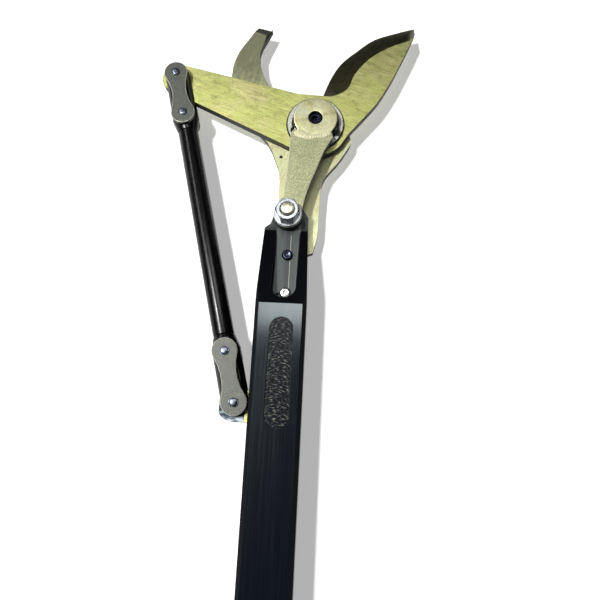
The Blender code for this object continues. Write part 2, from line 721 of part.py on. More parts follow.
def carriage(zinc, steel, rubber, bronze):
    """Slide with its lug, piston rod and piston; it travels along the bore."""
    radius = bore / 2 - fit
    slide = turned("carriage_lug", grooved(radius, carriage_length, (4.0,), ring_groove),
                   aim((0, carriage_front, middle), (0, -1, 0)), zinc, 20)
    x, y = lug_pin
    turn = math.degrees(math.acos(lug_left / lug_round))
    corner = [(0, y + lug_above), (x - lug_left + 1.2, y + lug_above), (x - lug_left, y + lug_above - 1.2)]
    outline = corner + arc((x, y), lug_round, 180 + turn, 270, 12) + [(0, y - lug_round)]
    lug = plate("lug", outline, middle - lug_thick / 2, middle + lug_thick / 2)
    carve(slide, lug, operation="UNION")
    eye = link_pin / 2 + fit + bush_wall
    seat = drill("rod_seat", piston_rod_diameter / 2 + fit, (0, carriage_back - 2, middle), (0, 1, 0),
                 rod_socket + 2)
    carve(slide, drill("eye", eye + fit, (x, y, 0), (0, 0, 1), bar), seat)
    place = aim((x, y, middle - lug_thick / 2), (0, 0, 1), (0, 1, 0))
    bush = turned("lug_bush", ring_profile(eye, link_pin / 2 + fit, lug_thick), place, bronze, 18)
    ring = seal_ring("slide_ring", (0, carriage_front - 4.0 - fit, middle), radius, bronze)

    rod_start = carriage_back + rod_socket - fit
    rod_end = piston_front + fit
    thread_end = piston_back - 2 * fit - piston_nut_height - 1.0
    big, small = piston_rod_diameter / 2, piston_thread / 2
    step, end = rod_start - rod_end, rod_start - thread_end
    profile = [(0, 0), (big - 0.6, 0), (big, 0.6), (big, step), (small, step), (small, end - 0.8),
               (small - 0.8, end), (0, end)]
    rod = turned("piston_rod", profile, aim((0, rod_start, middle), (0, -1, 0)), steel)
    piston = turned("piston", grooved(radius, piston_length, (8.2,), ring_groove),
                    aim((0, piston_front, middle), (0, -1, 0)), steel)
    carve(piston, drill("thread", small + fit, (0, piston_back - 1, middle), (0, 1, 0), piston_length + 2))
    seal = seal_ring("piston_seal", (0, piston_front - 8.2 - fit, middle), radius, rubber)
    place = aim((0, piston_back - fit, middle), (0, -1, 0))
    nut = hex_piece("piston_nut", 13.0, piston_nut_height, place, steel)
    carve(nut, drill("thread", small + fit, (0, piston_back + 1, middle), (0, -1, 0), piston_nut_height + 3))
    hold(joint_empty("carriage_joint", (*lug_pin, middle)), slide, bush, ring, rod, piston, seal, nut)


def cylinder_parts(aluminium, rubber):
    """Gland that closes the cylinder round the piston rod, with its seal."""
    radius = bore / 2 - fit
    gland = turned("rod_gland", grooved(radius, gland_length, (8.2,), ring_groove),
                   aim((0, gland_front, middle), (0, -1, 0)), aluminium)
    carve(gland, drill("rod_hole", piston_rod_diameter / 2 + fit, (0, gland_back - 1, middle), (0, 1, 0),
                       gland_length + 2))
    seal_ring("gland_seal", (0, gland_front - 8.2 - fit, middle), radius, rubber)


def end_cap(black, steel):
    """Square cap with a spigot in the bore, a socket for the pole and four corner screws."""
    half, corner = bar / 2, bar / 2 - bar_chamfer
    section = [(corner, 0), (half, bar_chamfer), (half, bar - bar_chamfer), (corner, bar),
               (-corner, bar), (-half, bar - bar_chamfer), (-half, bar_chamfer), (-corner, 0)]
    cap = extruded("end_cap", [(x, cap_back, z) for x, z in section], (0, cap_thick, 0), black)
    inner = pole_diameter / 2 + fit
    outer = inner + socket_wall
    spigot = turned("spigot", rod_profile(bore / 2 - fit, cap_spigot + 2, 0.6),
                    aim((0, cap_front + cap_spigot, middle), (0, -1, 0)))
    boss = turned("boss", rod_profile(outer, socket_length + 2, 0.8),
                  aim((0, cap_back + 2, middle), (0, -1, 0)), sides=22)
    carve(cap, spigot, operation="UNION")
    carve(cap, boss, operation="UNION")
    carve(cap, drill("socket", inner, (0, cap_back, middle), (0, -1, 0), socket_length + 5, 22))
    screw_y = cap_back - socket_length / 2
    carve(cap, drill("side_hole", pole_screw / 2 + fit, (0, screw_y, middle), (0, 0, 1), bar))
    number = 0
    for x in (-cap_screw_reach, cap_screw_reach):
        for z in (-cap_screw_reach, cap_screw_reach):
            number += 1
            spot = (x, cap_back - 1, middle + z)
            carve(cap, drill("hole", cap_screw / 2 + fit, spot, (0, 1, 0), cap_thick + 2, 12))
            big, small = cap_screw_head / 2, cap_screw / 2
            reach = cap_thick + fit + 12
            profile = [(0, 0), (big - 0.5, 0), (big, 0.5), (big, cap_screw), (small, cap_screw),
                       (small, cap_screw + reach), (0, cap_screw + reach)]
            place = aim((x, cap_back - fit - cap_screw, middle + z), (0, 1, 0))
            turned(f"cap_screw_{number}", profile, place, steel, 12)
    small, big = pole_screw / 2, pole_screw * 0.8
    seat = middle + outer + fit
    depth = socket_wall + 2 * fit + pole_wall
    profile = [(0, -depth), (small, -depth), (small, 0), (big, 0), (big, 1.4), (big - 0.9, 2.4), (0, 2.4)]
    screw = turned("pole_screw", profile, aim((0, screw_y, seat), (0, 0, 1), (0, 1, 0)), steel, 16)
    key = plate("key", [Vector((0, screw_y)) + p for p in hexagon(3.0)], seat + 1.0, seat + 4)
    carve(screw, key)


def pole(black, rubber, steel):
    """Round tube with the two oil pipes inside it and the front grip on it."""
    outer = pole_diameter / 2
    tube = turned("pole_tube", ring_profile(outer, outer - pole_wall, pole_length),
                  aim((0, pole_front, middle), (0, -1, 0)), black, 24)
    screw_y = cap_back - socket_length / 2
    carve(tube, drill("side_hole", pole_screw / 2 + fit, (0, screw_y, middle), (0, 0, 1), bar))
    for name, x in (("pressure_pipe", -pipe_spread), ("return_pipe", pipe_spread)):
        turned(name, ring_profile(pipe_diameter / 2, pipe_diameter / 2 - pipe_wall, pole_length),
               aim((x, pole_front, middle), (0, -1, 0)), steel, 12)

    inner = outer + fit
    thick = inner + grip_thick
    profile = [(inner, 0), (thick - 2.0, 0), (thick, 2.0)]
    pitch = (grip_length - 20.0) / grip_ribs
    for i in range(grip_ribs):
        start = 10.0 + i * pitch
        profile += [(thick, start), (thick - 1.4, start + 1.6), (thick - 1.4, start + pitch / 2 - 1.6),
                    (thick, start + pitch / 2)]
    profile += [(thick, grip_length - 2.0), (thick - 2.0, grip_length), (inner, grip_length)]
    turned("front_grip", profile, aim((0, cap_back - grip_start, middle), (0, -1, 0)), rubber, 18)


def rounded_section(width, height, radius, low):
    """A rectangle with round corners, in X and Z, centred on X = 0."""
    x, z = width / 2 - radius, height - radius
    corners = ((x, low + z, 0), (-x, low + z, 90), (-x, low + radius, 180), (x, low + radius, 270))
    return [p for cx, cz, start in corners for p in arc((cx, cz), radius, start, start + 90, 22.5)]


def valve_handle(black, steel, brass):
    """Rear handle with the valve inside, its trigger and the two hose fittings."""
    section = rounded_section(handle_width, bar, handle_round, 0)
    outline = [(p.x, handle_back, p.y) for p in section]
    handle = extruded("valve_handle", outline, (0, handle_length, 0), black)
    half = handle_width / 2
    ears = []
    px, py = lever_pivot
    ear_gap = trigger_width / 2 + fit
    for side in (-1, 1):
        low, high = sorted((middle + side * ear_gap, middle + side * (ear_gap + trigger_ear)))
        root = -half + 2
        outline = [(root, py - 11)] + arc((px, py), 6, 250, 110, 20) + [(root, py + 11)]
        ears.append(plate("ear", outline, low, high))
    for ear in ears:
        carve(handle, ear, operation="UNION")
    carve(handle, drill("pole_socket", pole_diameter / 2 + fit, (0, handle_front + 1, middle), (0, -1, 0),
                        handle_socket + 1, 24))
    carve(handle, drill("pin_hole", trigger_pin / 2 + fit, (px, py, 0), (0, 0, 1), bar))
    stem_y = handle_back + stem_back
    stem_mouth = (-half - 1, stem_y, middle)
    carve(handle, drill("stem_hole", stem_diameter / 2 + fit, stem_mouth, (1, 0, 0), stem_depth + 1, 20))
    for x in (-port_spread, port_spread):
        mouth = (x, handle_back - 1, middle)
        carve(handle, drill("port", port_diameter / 2 + fit, mouth, (0, 1, 0), port_depth + 1))

    turned("trigger_pin", rod_profile(trigger_pin / 2, 2 * (ear_gap + trigger_ear) + 1.2, 0.4),
           aim((px, py, middle - ear_gap - trigger_ear - 0.6), (0, 0, 1), (0, 1, 0)), steel, 16)

    reach = trigger_length
    inner = smooth_curve([(-1.2, 4.8), (-1.0, 20.0), (-2.0, 50.0), (-5.0, 90.0), (-trigger_lift, reach)], 3)
    outer = [p - Vector((trigger_thick, 0)) for p in inner]
    toe = arc(inner[-1] - Vector((trigger_thick / 2, 0)), trigger_thick / 2, 0, 180, 45)
    outline = arc((0, 0), trigger_eye, 195, 435, 15) + inner + toe[1:-1] + outer[::-1]
    trigger = plate("trigger", [lever_pivot + Vector(p) for p in outline], middle - trigger_width / 2,
                    middle + trigger_width / 2, black)
    carve(trigger, drill("pin_hole", trigger_pin / 2 + fit, (px, py, 0), (0, 0, 1), bar))
    hold(joint_empty("trigger_joint", (*lever_pivot, middle)), trigger)

    stem_out = px - 1.0 + fit
    stem = turned("valve_stem", rod_profile(stem_diameter / 2, -half + stem_depth - 4.0 - stem_out, 0.8),
                  aim((stem_out, stem_y, middle), (1, 0, 0)), steel, 20)
    hold(joint_empty("stem_joint", (stem_out, stem_y, middle)), stem)

    for name, x in (("pressure_fitting", -port_spread), ("return_fitting", port_spread)):
        place = aim((x, handle_back - fit, middle), (0, -1, 0))
        nut = hex_piece(name, port_hex, port_hex_height, place, brass, turn=30)
        tail = turned("thread", rod_profile(port_diameter / 2, port_depth - 1 + 2, 0.6),
                      aim((x, handle_back + port_depth - 1, middle), (0, -1, 0)), sides=16)
        nose_start = handle_back - fit - port_hex_height + 1
        profile = [(0, 0), (5.6, 0), (4.6, 6), (4.6, 9), (5.6, 10), (5.6, nose_length - 2),
                   (4.4, nose_length), (0, nose_length)]
        nose = turned("nose", profile, aim((x, nose_start, middle), (0, -1, 0)), sides=16)
        carve(nut, tail, operation="UNION")
        carve(nut, nose, operation="UNION")
        nose_end = (x, nose_start - nose_length - 2, middle)
        carve(nut, drill("bore", 3.0, nose_end, (0, 1, 0), nose_length + 12, 12))


def build():
    clear_scene()
    black = finish("black anodised aluminium", (0.020, 0.022, 0.028), 0.35, 0.4)
    zinc = finish("yellow zinc plated steel", (0.62, 0.58, 0.30), 0.34, 0.9)
    sanded = finish("blasted steel", (0.42, 0.43, 0.37), 0.62, 0.8)
    steel = finish("bright steel", (0.72, 0.73, 0.74), 0.25, 1.0)
    grey = finish("grey link steel", (0.40, 0.40, 0.38), 0.48, 0.85)
    dark = finish("dark steel", (0.05, 0.055, 0.07), 0.4, 0.8)
    bronze = finish("bronze", (0.55, 0.38, 0.18), 0.4, 1.0)
    rubber = finish("black rubber", (0.03, 0.03, 0.03), 0.8, 0.0)
    aluminium = finish("plain aluminium", (0.66, 0.67, 0.68), 0.4, 1.0)

    body_bar(black)
    hook_plate(zinc)
    front_arm(sanded)
    head_fasteners(steel, dark, zinc)

    blade = cutting_blade(zinc)
    flat = (0, 0, 1)
    hub = turned("hub_bush", ring_profile(hub_bore / 2 - fit, pivot_pin / 2 + fit, blade_thick),
                 aim((*pivot, blade_low), flat, (0, 1, 0)), bronze)
    eye = link_pin / 2 + fit
    bush = turned("lever_bush", ring_profile(eye + bush_wall, eye, blade_thick),
                  aim((*lever_pin, blade_low), flat, (0, 1, 0)), bronze, 20)
    hold(joint_empty("blade_joint", (*pivot, middle)), blade, hub, bush)

    push_rod(black, grey, steel)
    carriage(zinc, steel, rubber, bronze)
    cylinder_parts(aluminium, rubber)
    end_cap(black, steel)
    pole(black, rubber, steel)
    valve_handle(black, steel, bronze)
    for item in bpy.data.objects:
        if item.type == "MESH":
            shade(item)


build()
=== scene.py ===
# %% [markdown]
# # A hydraulic lopper, dressed around its CAD frame
#
# The solids of the tool are already made and placed: a square black bar, a cutting head,
# a push rod, a pole and a handle. Here each of them gets the finish of the real one, rounded
# edges that catch the light, and the fine pieces that the plain solids leave out.
# Places in the scene are in metres, and the sizes of shapes and patterns are in mm. +Y runs
# towards the jaws and +Z is the front.

# %% Load the frame
import json
import math

import bmesh
import bpy
import numpy as np
from mathutils import Matrix, Vector


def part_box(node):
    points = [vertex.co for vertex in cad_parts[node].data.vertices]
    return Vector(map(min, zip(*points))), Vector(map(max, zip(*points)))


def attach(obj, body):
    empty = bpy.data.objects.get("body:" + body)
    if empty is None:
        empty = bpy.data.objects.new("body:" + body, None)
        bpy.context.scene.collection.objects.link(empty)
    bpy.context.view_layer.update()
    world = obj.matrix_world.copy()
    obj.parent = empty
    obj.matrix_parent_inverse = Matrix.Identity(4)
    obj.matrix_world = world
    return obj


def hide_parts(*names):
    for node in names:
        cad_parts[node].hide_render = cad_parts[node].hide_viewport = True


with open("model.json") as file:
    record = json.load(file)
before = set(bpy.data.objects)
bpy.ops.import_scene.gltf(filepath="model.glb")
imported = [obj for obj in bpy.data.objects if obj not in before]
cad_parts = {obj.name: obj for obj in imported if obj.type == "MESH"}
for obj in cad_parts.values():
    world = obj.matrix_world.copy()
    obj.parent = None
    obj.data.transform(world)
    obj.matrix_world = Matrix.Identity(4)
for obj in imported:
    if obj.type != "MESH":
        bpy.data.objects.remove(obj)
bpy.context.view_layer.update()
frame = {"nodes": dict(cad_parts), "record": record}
nodes = frame["nodes"]
mm = 0.001

# %% [markdown]
# ## Where things are
#
# Every new piece sits on a solid; its height and most places are read from that solid's box, and the rest are
# given as numbers.
# Three centres are needed often: the blade's pivot, the stud that holds the arm, and the pins at
# the two ends of the push rod, which give the rod's direction.

# %% Places read from the frame
def middle_of(node):
    """The centre of a solid's box."""
    low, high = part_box(node)
    return (low + high) / 2


def span_of(node, axis=2):
    """Where a solid starts and ends along one axis, in mm; the axes are 0, 1 and 2."""
    low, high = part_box(node)
    return low[axis] / mm, high[axis] / mm


def top_of(node):
    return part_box(node)[1].z


pivot = middle_of("hub_disc")
stud = middle_of("arm_nut")
lug_pin = middle_of("lug_pin")
lever_pin = middle_of("lever_pin_front")
rod_way = Vector((lever_pin.x - lug_pin.x, lever_pin.y - lug_pin.y, 0)).normalized()
bar_middle = middle_of("body_bar").z
arm_clearance = 0.3 * mm          # between the arm's back and the floor of the bar's slot
slot_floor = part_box("front_arm")[0].z - arm_clearance
print("pivot", tuple(round(v, 4) for v in pivot), "stud", tuple(round(v, 4) for v in stud))

# %% [markdown]
# ## The camera
#
# The photograph was taken from close by with a wide lens: the bar narrows strongly towards the
# handle, and the tops of the nut and the disc lean away from the picture's middle. A wide lens
# close up gives both; a long lens from far away would give neither. The camera looks down at a
# point on the bar's middle plane, tilted a little towards the head and rolled by three degrees.

# %% Camera
camera_place = Vector((0.02335, -0.06847, 0.37586))
camera_aim = Vector((0.01352, 0.00687, 0.019))
camera_roll = math.radians(2.92)
camera_lens = 28.30


def place_camera(place, target, roll, lens):
    """Camera axes from a look direction: up is +Y made square to it, then rolled about it."""
    look = (target - place).normalized()
    up = Vector((0, 1, 0))
    up = (up - up.dot(look) * look).normalized()
    right = look.cross(up)
    turned_up = math.cos(roll) * up - math.sin(roll) * right
    turned_right = look.cross(turned_up)
    axes = Matrix((turned_right, turned_up, -look)).transposed().to_4x4()
    data = bpy.data.cameras.new("camera")
    data.lens = lens
    data.sensor_width = 36.0
    data.clip_start = 0.01
    camera = bpy.data.objects.new("camera", data)
    camera.matrix_world = Matrix.Translation(place) @ axes
    bpy.context.scene.collection.objects.link(camera)
    bpy.context.scene.camera = camera


place_camera(camera_place, camera_aim, camera_roll, camera_lens)
print("camera", round((camera_place - camera_aim).length, 3), "m from what it looks at")

# %% [markdown]
# ## A finish and its nodes
#
# A finish is more than a colour. Plated steel is mottled and scratched, anodised aluminium keeps
# the lines of its extrusion, and sand-blasted steel sparkles. All of that is made of a few kinds
# of node, and naming each kind once keeps the finishes below short enough to read as recipes.
# They read Object coordinates, so a pattern stays on its piece at its real size, whatever way the
# tool moves. What is the same all over a piece is set on the shader's own socket.

# %% Finish and its nodes
class Finish:
    """A Principled material and the nodes that feed it. Sizes of patterns are in mm."""

    def __init__(self, name, colour, metallic=0.0):
        self.material = bpy.data.materials.new(name)
        self.material.use_nodes = True
        self.tree = self.material.node_tree
        self.shader = self.tree.nodes["Principled BSDF"]
        self.feed("Base Color", colour)
        self.feed("Metallic", metallic)

    def feed(self, name, value, node=None):
        """Join a socket, the shader's own by default, to another socket, or give it a constant:
        a number, three values of a vector, or a colour."""
        socket = (node or self.shader).inputs[name]
        if isinstance(value, bpy.types.NodeSocket):
            self.tree.links.new(value, socket)
        elif hasattr(value, "__len__"):
            socket.default_value = (*value, 1)[:len(socket.default_value)]
        else:
            socket.default_value = value

    def add(self, kind, inputs=None, **settings):
        """A new node's outputs; inputs tells what feeds each socket, by its name or number."""
        node = self.tree.nodes.new(f"ShaderNode{kind}")
        for setting, value in settings.items():
            setattr(node, setting, value)
        for name, value in (inputs or {}).items():
            self.feed(name, value, node)
        return node.outputs

    def place(self, stretch=(1, 1, 1), turn=0.0, centre=(0, 0, 0)):
        """Object coordinates about a centre, turned about Z; stretch is the size of one unit."""
        inputs = {"Vector": self.add("TexCoord")["Object"], "Location": centre,
                  "Rotation": (0, 0, turn), "Scale": [size * mm for size in stretch]}
        return self.add("Mapping", inputs, vector_type="TEXTURE")["Vector"]

    def x_and_y(self, vector):
        return self.add("SeparateXYZ", {0: vector})[:2]

    def point(self, x, y=0.0):
        return self.add("CombineXYZ", {0: x, 1: y})[0]

    def noise_at(self, vector, detail=3.0, roughness=0.55):
        inputs = {"Vector": vector, "Scale": 1.0, "Detail": detail, "Roughness": roughness}
        return self.add("TexNoise", inputs)["Fac"]

    def noise(self, size, detail=3.0, turn=0.0):
        """Marks of one size along each axis, turned about Z."""
        return self.noise_at(self.place(size, turn), detail)

    def maths(self, operation, first, second=0.0):
        return self.add("Math", {0: first, 1: second}, operation=operation)[0]

    def mix(self, factor, first, second, mode="MIX"):
        return self.add("Mix", {0: factor, 6: first, 7: second}, data_type="RGBA", blend_type=mode)[2]

    def ramp(self, factor, stops):
        """A colour ramp; stops are (position, colour or grey value)."""
        shade = self.add("ValToRGB", {"Fac": factor})["Color"]
        elements = shade.node.color_ramp.elements
        while len(elements) < len(stops):
            elements.new(0.5)
        for element, (position, value) in zip(elements, stops):
            colour = value if hasattr(value, "__len__") else (value, value, value)
            element.position = position
            element.color = (*colour, 1)
        return shade

    def made(self, colour, marks, roughness, bump, height=None, start=0.3, end=0.7):
        """The material with its colour, roughness and relief. Roughness is one value, or a span
        that it runs through where the marks rise from start to end. The marks are the relief too,
        unless a height is given; bump is (strength, relief)."""
        strength, relief = bump
        if isinstance(roughness, tuple):
            roughness = self.ramp(marks, [(start, roughness[0]), (end, roughness[1])])
        inputs = {"Strength": strength, "Distance": relief * mm, "Height": height or marks}
        self.feed("Base Color", colour)
        self.feed("Roughness", roughness)
        self.feed("Normal", self.add("Bump", inputs)["Normal"])
        return self.material


def scaled(colour, factor):
    return tuple(c * factor for c in colour)


def shades(colour, darker, lighter, start=0.3, end=0.7):
    """Two stops for a ramp: the colour made darker and lighter by two factors."""
    return [(start, scaled(colour, darker)), (end, scaled(colour, lighter))]


# %% [markdown]
# ## Light and floor
#
# The photograph was lit by a flash to the left of the lens, and its polished and anodised faces
# mirror pale things above the head. Two kinds of lamp do these two jobs here. The flash is small
# and far away: it gives the even light, at a level at which a colour renders about as it is
# written, and crisp shadows. Three soft panels face straight down and are for shine only: glossy
# faces mirror them, and they add no even light. The near edge of the first is mirrored just below
# the bar's ramp, so the bar's front shines from there on and the ramp stays black. The second
# gives the head a faint glow. The third is a long strip on the left, which draws the line of
# light along the rod.
#
# The floor shines a little by itself for the camera and for mirrors, so that it stays white and
# still keeps the tool's shadow. The sky is dim, because the black faces mirror it, with a pale
# band at the horizon that hides where the floor ends.

# %% Floor, lamps and world
flash_place = Vector((-2.40, 0.12, 5.55))
flash_target = Vector((0.0, 0.04, 0.0))
flash_size = (0.45, 0.45)
flash_watts = 400.0
shine_panels = {    # place, size and radiance
    "bar_panel": ((0.025, 0.160, 0.55), (0.23, 0.19), 7.2),
    "head_panel": ((0.02, 0.45, 0.56), (0.30, 0.26), 0.35),
    "rod_panel": ((-0.43, 0.32, 0.56), (0.12, 0.80), 10.0),
}
straight_down = Vector((0, 0, -1))
floor_reach = 30.0
floor_drop = 0.2 * mm
floor_glow = 0.40
sky_level = 0.045
horizon_level = 0.90


def floor_finish(glow):
    """Pale floor that shows a part of its white to camera, mirror and glass rays by itself."""
    pale = Finish("pale floor", (0.90, 0.90, 0.90))
    rays = pale.add("LightPath")
    seen = pale.maths("ADD", rays["Is Camera Ray"], rays["Is Glossy Ray"])
    seen = pale.maths("ADD", seen, rays["Is Transmission Ray"])
    pale.feed("Roughness", 0.9)
    pale.feed("Emission Color", (1, 1, 1))
    pale.feed("Emission Strength", pale.maths("MULTIPLY", seen, glow))
    return pale.material


def add_floor(reach, drop):
    mesh = bpy.data.meshes.new("floor")
    corners = ((-reach, -reach), (reach, -reach), (reach, reach), (-reach, reach))
    mesh.from_pydata([(x, y, -drop) for x, y in corners], [], [(0, 1, 2, 3)])
    mesh.materials.append(floor_finish(floor_glow))
    floor = bpy.data.objects.new("floor", mesh)
    bpy.context.scene.collection.objects.link(floor)


def add_lamp(name, place, way, size, watts, shine_only=False):
    """A rectangular lamp that shines one way and isn't seen by the camera. One that is for shine
    only is seen in glossy faces and adds no even light, so the flash's shadows stay crisp."""
    data = bpy.data.lights.new(name, "AREA")
    data.shape = "RECTANGLE"
    data.size, data.size_y = size
    data.energy = watts
    lamp = bpy.data.objects.new(name, data)
    lamp.location = place
    lamp.rotation_euler = way.to_track_quat("-Z", "Y").to_euler()
    lamp.visible_camera = False
    lamp.visible_diffuse = not shine_only
    bpy.context.scene.collection.objects.link(lamp)


def add_world(sky, horizon, horizon_end=0.04, sky_start=0.32):
    """A dim sky that grows lighter towards the horizon; the direction's height picks the shade."""
    world = bpy.data.worlds.new("studio")
    world.use_nodes = True
    tree = world.node_tree
    source = tree.nodes.new("ShaderNodeTexCoord")
    parts = tree.nodes.new("ShaderNodeSeparateXYZ")
    tree.links.new(source.outputs["Generated"], parts.inputs[0])
    shade = tree.nodes.new("ShaderNodeValToRGB")
    low, high = shade.color_ramp.elements
    low.position, low.color = horizon_end, (horizon, horizon, horizon, 1)
    high.position, high.color = sky_start, (sky * 0.92, sky * 0.96, sky, 1)
    tree.links.new(parts.outputs[2], shade.inputs["Fac"])
    tree.links.new(shade.outputs["Color"], tree.nodes["Background"].inputs["Color"])
    bpy.context.scene.world = world


add_floor(floor_reach, floor_drop)
for name, (place, size, radiance) in shine_panels.items():
    watts = radiance * math.pi * size[0] * size[1]
    add_lamp(name, place, straight_down, size, watts, shine_only=True)
    print(f"{name} {watts:.2f} W")
add_lamp("flash", flash_place, flash_target - flash_place, flash_size, flash_watts)
add_world(sky_level, horizon_level)
bpy.context.scene.view_settings.view_transform = "Standard"

# %% [markdown]
# ## Finishes
#
# ### Yellow zinc
#
# The blade and the hook are zinc plated and passivated. The film is olive where it is thin and
# straw yellow where it is thick, so the colour wanders over some centimetres. On top come the
# rolling marks of the plate, long in one direction, and a fine even grain that breaks up every
# reflection. The grain is the most important of the three: without it the plate looks painted.
# Towards the tips of the jaws the colour darkens towards dark steel; on the hook, whose top lies farther from
# the light, this is painted shade.

# %% Yellow zinc
tip_dark_colour = (0.085, 0.090, 0.055)


def yellow_zinc(name, turn, film=(0.60, 0.635, 0.20), straw=(0.69, 0.645, 0.27), roughness=(0.34, 0.50),
                metallic=0.5, tip_darkening=None):
    """The darkening is (start, end, share): the colour turns towards dark steel from the start's y on
    and reaches that share of it at the end's; on the hook it is painted shade."""
    zinc = Finish(name, film, metallic)
    clouds = zinc.noise((26, 17, 17), 3, turn)
    blotches = zinc.noise((6, 3.5, 4), 4, turn)
    marks = zinc.noise((16.0, 0.8, 0.8), 4, turn)
    grain = zinc.noise((0.9, 0.9, 0.9), 3)
    thick = tuple(c * k for c, k in zip(film, (0.62, 0.55, 0.40)))
    colour = zinc.mix(zinc.ramp(clouds, [(0.46, 0.0), (0.64, 1.0)]), film, straw)
    colour = zinc.mix(zinc.ramp(blotches, [(0.56, 0.0), (0.76, 0.65)]), colour, thick)
    speckle = zinc.mix(0.5, zinc.ramp(marks, [(0.36, 0.66), (0.56, 1.0)]),
                       zinc.ramp(grain, [(0.36, 0.55), (0.58, 1.0)]))
    colour = zinc.mix(1.0, colour, speckle, "MULTIPLY")
    if tip_darkening:
        start, end, share = tip_darkening
        y = zinc.x_and_y(zinc.place())[1]
        reach = zinc.maths("DIVIDE", zinc.maths("SUBTRACT", y, start), end - start)
        ragged = zinc.maths("ADD", reach, zinc.maths("SUBTRACT", blotches, 0.5))
        colour = zinc.mix(zinc.ramp(ragged, [(0.0, 0.0), (1.0, share)]), colour, tip_dark_colour)
    return zinc.made(colour, marks, roughness, (0.30, 0.04), height=speckle)


# %% [markdown]
# ### Finishes of one grain
#
# Many finishes need a single noise, which shades the colour, changes the shine and lifts the
# surface together, as real marks do. What sets them apart is the mark's shape. The blade's edge
# is ground after plating: bare steel with lines across the edge, painted near black as shade. The
# plates' sides were cut with a flame: dark oxide, painted darker still as shade, with lines from front
# to back. Plated and turned metal has small round marks. Paint, rubber and plastic aren't metal: black, with
# the highlight doing the work.

# %% Finishes of one grain
def grained(name, colour, metallic, grain, shading, roughness, bump, detail=3, turn=0.0, specular=0.5):
    """grain is a mark's size along each axis, and shading is the colour's darkest and lightest
    factor."""
    finish = Finish(name, colour, metallic)
    marks = finish.noise(grain, detail, turn)
    finish.feed("Specular IOR Level", specular)
    return finish.made(finish.ramp(marks, shades(colour, *shading)), marks, roughness, bump)


# painted shade: the ground facets get a near-black steel colour
def ground_steel(name, turn, colour=(0.068, 0.064, 0.034)):
    lines = (6.0, 0.22, 6.0)
    return grained(name, colour, 1.0, lines, (0.6, 1.5), (0.26, 0.42), (0.35, 0.03), turn=turn)


def bright_metal(name, colour, roughness=(0.2, 0.34), size=1.6, metallic=1.0):
    return grained(name, colour, metallic, (size,) * 3, (0.82, 1.0), roughness, (0.15, 0.04), detail=4)


def black_coat(name, colour, roughness, grain=(1.5, 12.0, 1.5), relief=0.03, specular=0.5):
    return grained(name, colour, 0.0, grain, (0.6, 1.5), roughness, (0.25, relief), specular=specular)


# %% [markdown]
# ### Black anodised aluminium
#
# The bar is an extrusion. Its fine lines run along the bar and smear a reflection lengthwise. The
# oxide layer is glossy like a thin lacquer over black, with a slight blue cast. Where a cutter
# went over the bar afterwards, the slot's floor shows bare grey metal, and the label recess has
# the curved marks of an end mill: arcs of the cutter's own radius, one behind the other.

# %% Black anodised
def black_anodised(name, colour, roughness, specular):
    black = Finish(name, colour)
    lines = black.noise((0.35, 60.0, 0.35))
    grain = black.noise((0.3, 0.5, 0.3), 2)
    black.feed("Specular IOR Level", specular)
    black.feed("Specular Tint", (0.86, 0.98, 1.0))
    film = black.ramp(lines, shades(colour, 0.7, 1.4))
    return black.made(film, lines, roughness, (0.12, 0.02), height=black.mix(0.5, lines, grain))


def milled_floor(name, ridge_x, ridge_end, ridge_half=0.16, band=4.0):
    """Bare grey metal where two passes of the cutter met: a thin ridge along Y, painted bright as its
    highlight, which ends at one y, and a darker band beside it on the left."""
    floor = Finish(name, (0.06, 0.06, 0.06), 0.6)
    x, y = floor.x_and_y(floor.place())
    marks = floor.noise((1.2, 9.0, 1.0), 4)
    beside_ridge = floor.maths("ABSOLUTE", floor.maths("SUBTRACT", x, ridge_x))
    beside_band = floor.maths("ABSOLUTE", floor.maths("SUBTRACT", x, ridge_x - band / 2))
    # painted highlight: the ridge is a bright line of colour, with no shape of its own
    ridge_highlight = floor.maths("MULTIPLY", floor.maths("LESS_THAN", beside_ridge, ridge_half),
                           floor.maths("LESS_THAN", y, ridge_end))
    on_band = floor.maths("MULTIPLY", floor.maths("LESS_THAN", beside_band, band / 2), 0.45)
    grey = floor.ramp(marks, shades((0.032, 0.037, 0.036), 0.7, 1.3))
    grey = floor.mix(on_band, grey, (0.011, 0.012, 0.013))
    with_ridge_highlight = floor.mix(ridge_highlight, grey, (0.24, 0.24, 0.20))
    return floor.made(with_ridge_highlight, marks, (0.36, 0.50), (0.25, 0.04))


def milled_recess(name, middle_x, cutter):
    """End mill marks: each lies where y minus the root of (cutter squared minus x squared) is one
    value, so a noise of that value alone draws arcs; a slow change with x breaks them into
    streaks. The arcs are flattened to 0.45 of the cutter's circle."""
    recess = Finish(name, (0.1, 0.1, 0.1))
    x, y = recess.x_and_y(recess.place())
    x = recess.maths("SUBTRACT", x, middle_x)
    under_root = recess.maths("SUBTRACT", cutter ** 2, recess.maths("MULTIPLY", x, x))
    bulge = recess.maths("SQRT", recess.maths("MAXIMUM", under_root, 1.0))
    along = recess.maths("SUBTRACT", y, recess.maths("MULTIPLY", bulge, 0.45))
    streaks = recess.noise_at(recess.point(recess.maths("MULTIPLY", x, 0.34), along), 3, 0.6)
    left_black, half_cut, cut = (0.003, 0.004, 0.008), (0.05, 0.055, 0.050), (0.32, 0.33, 0.26)
    colour = recess.ramp(streaks, [(0.50, left_black), (0.60, half_cut), (0.70, cut)])
    recess.feed("Specular IOR Level", 0.10)
    return recess.made(colour, streaks, (0.24, 0.42), (0.6, 0.12), start=0.4)
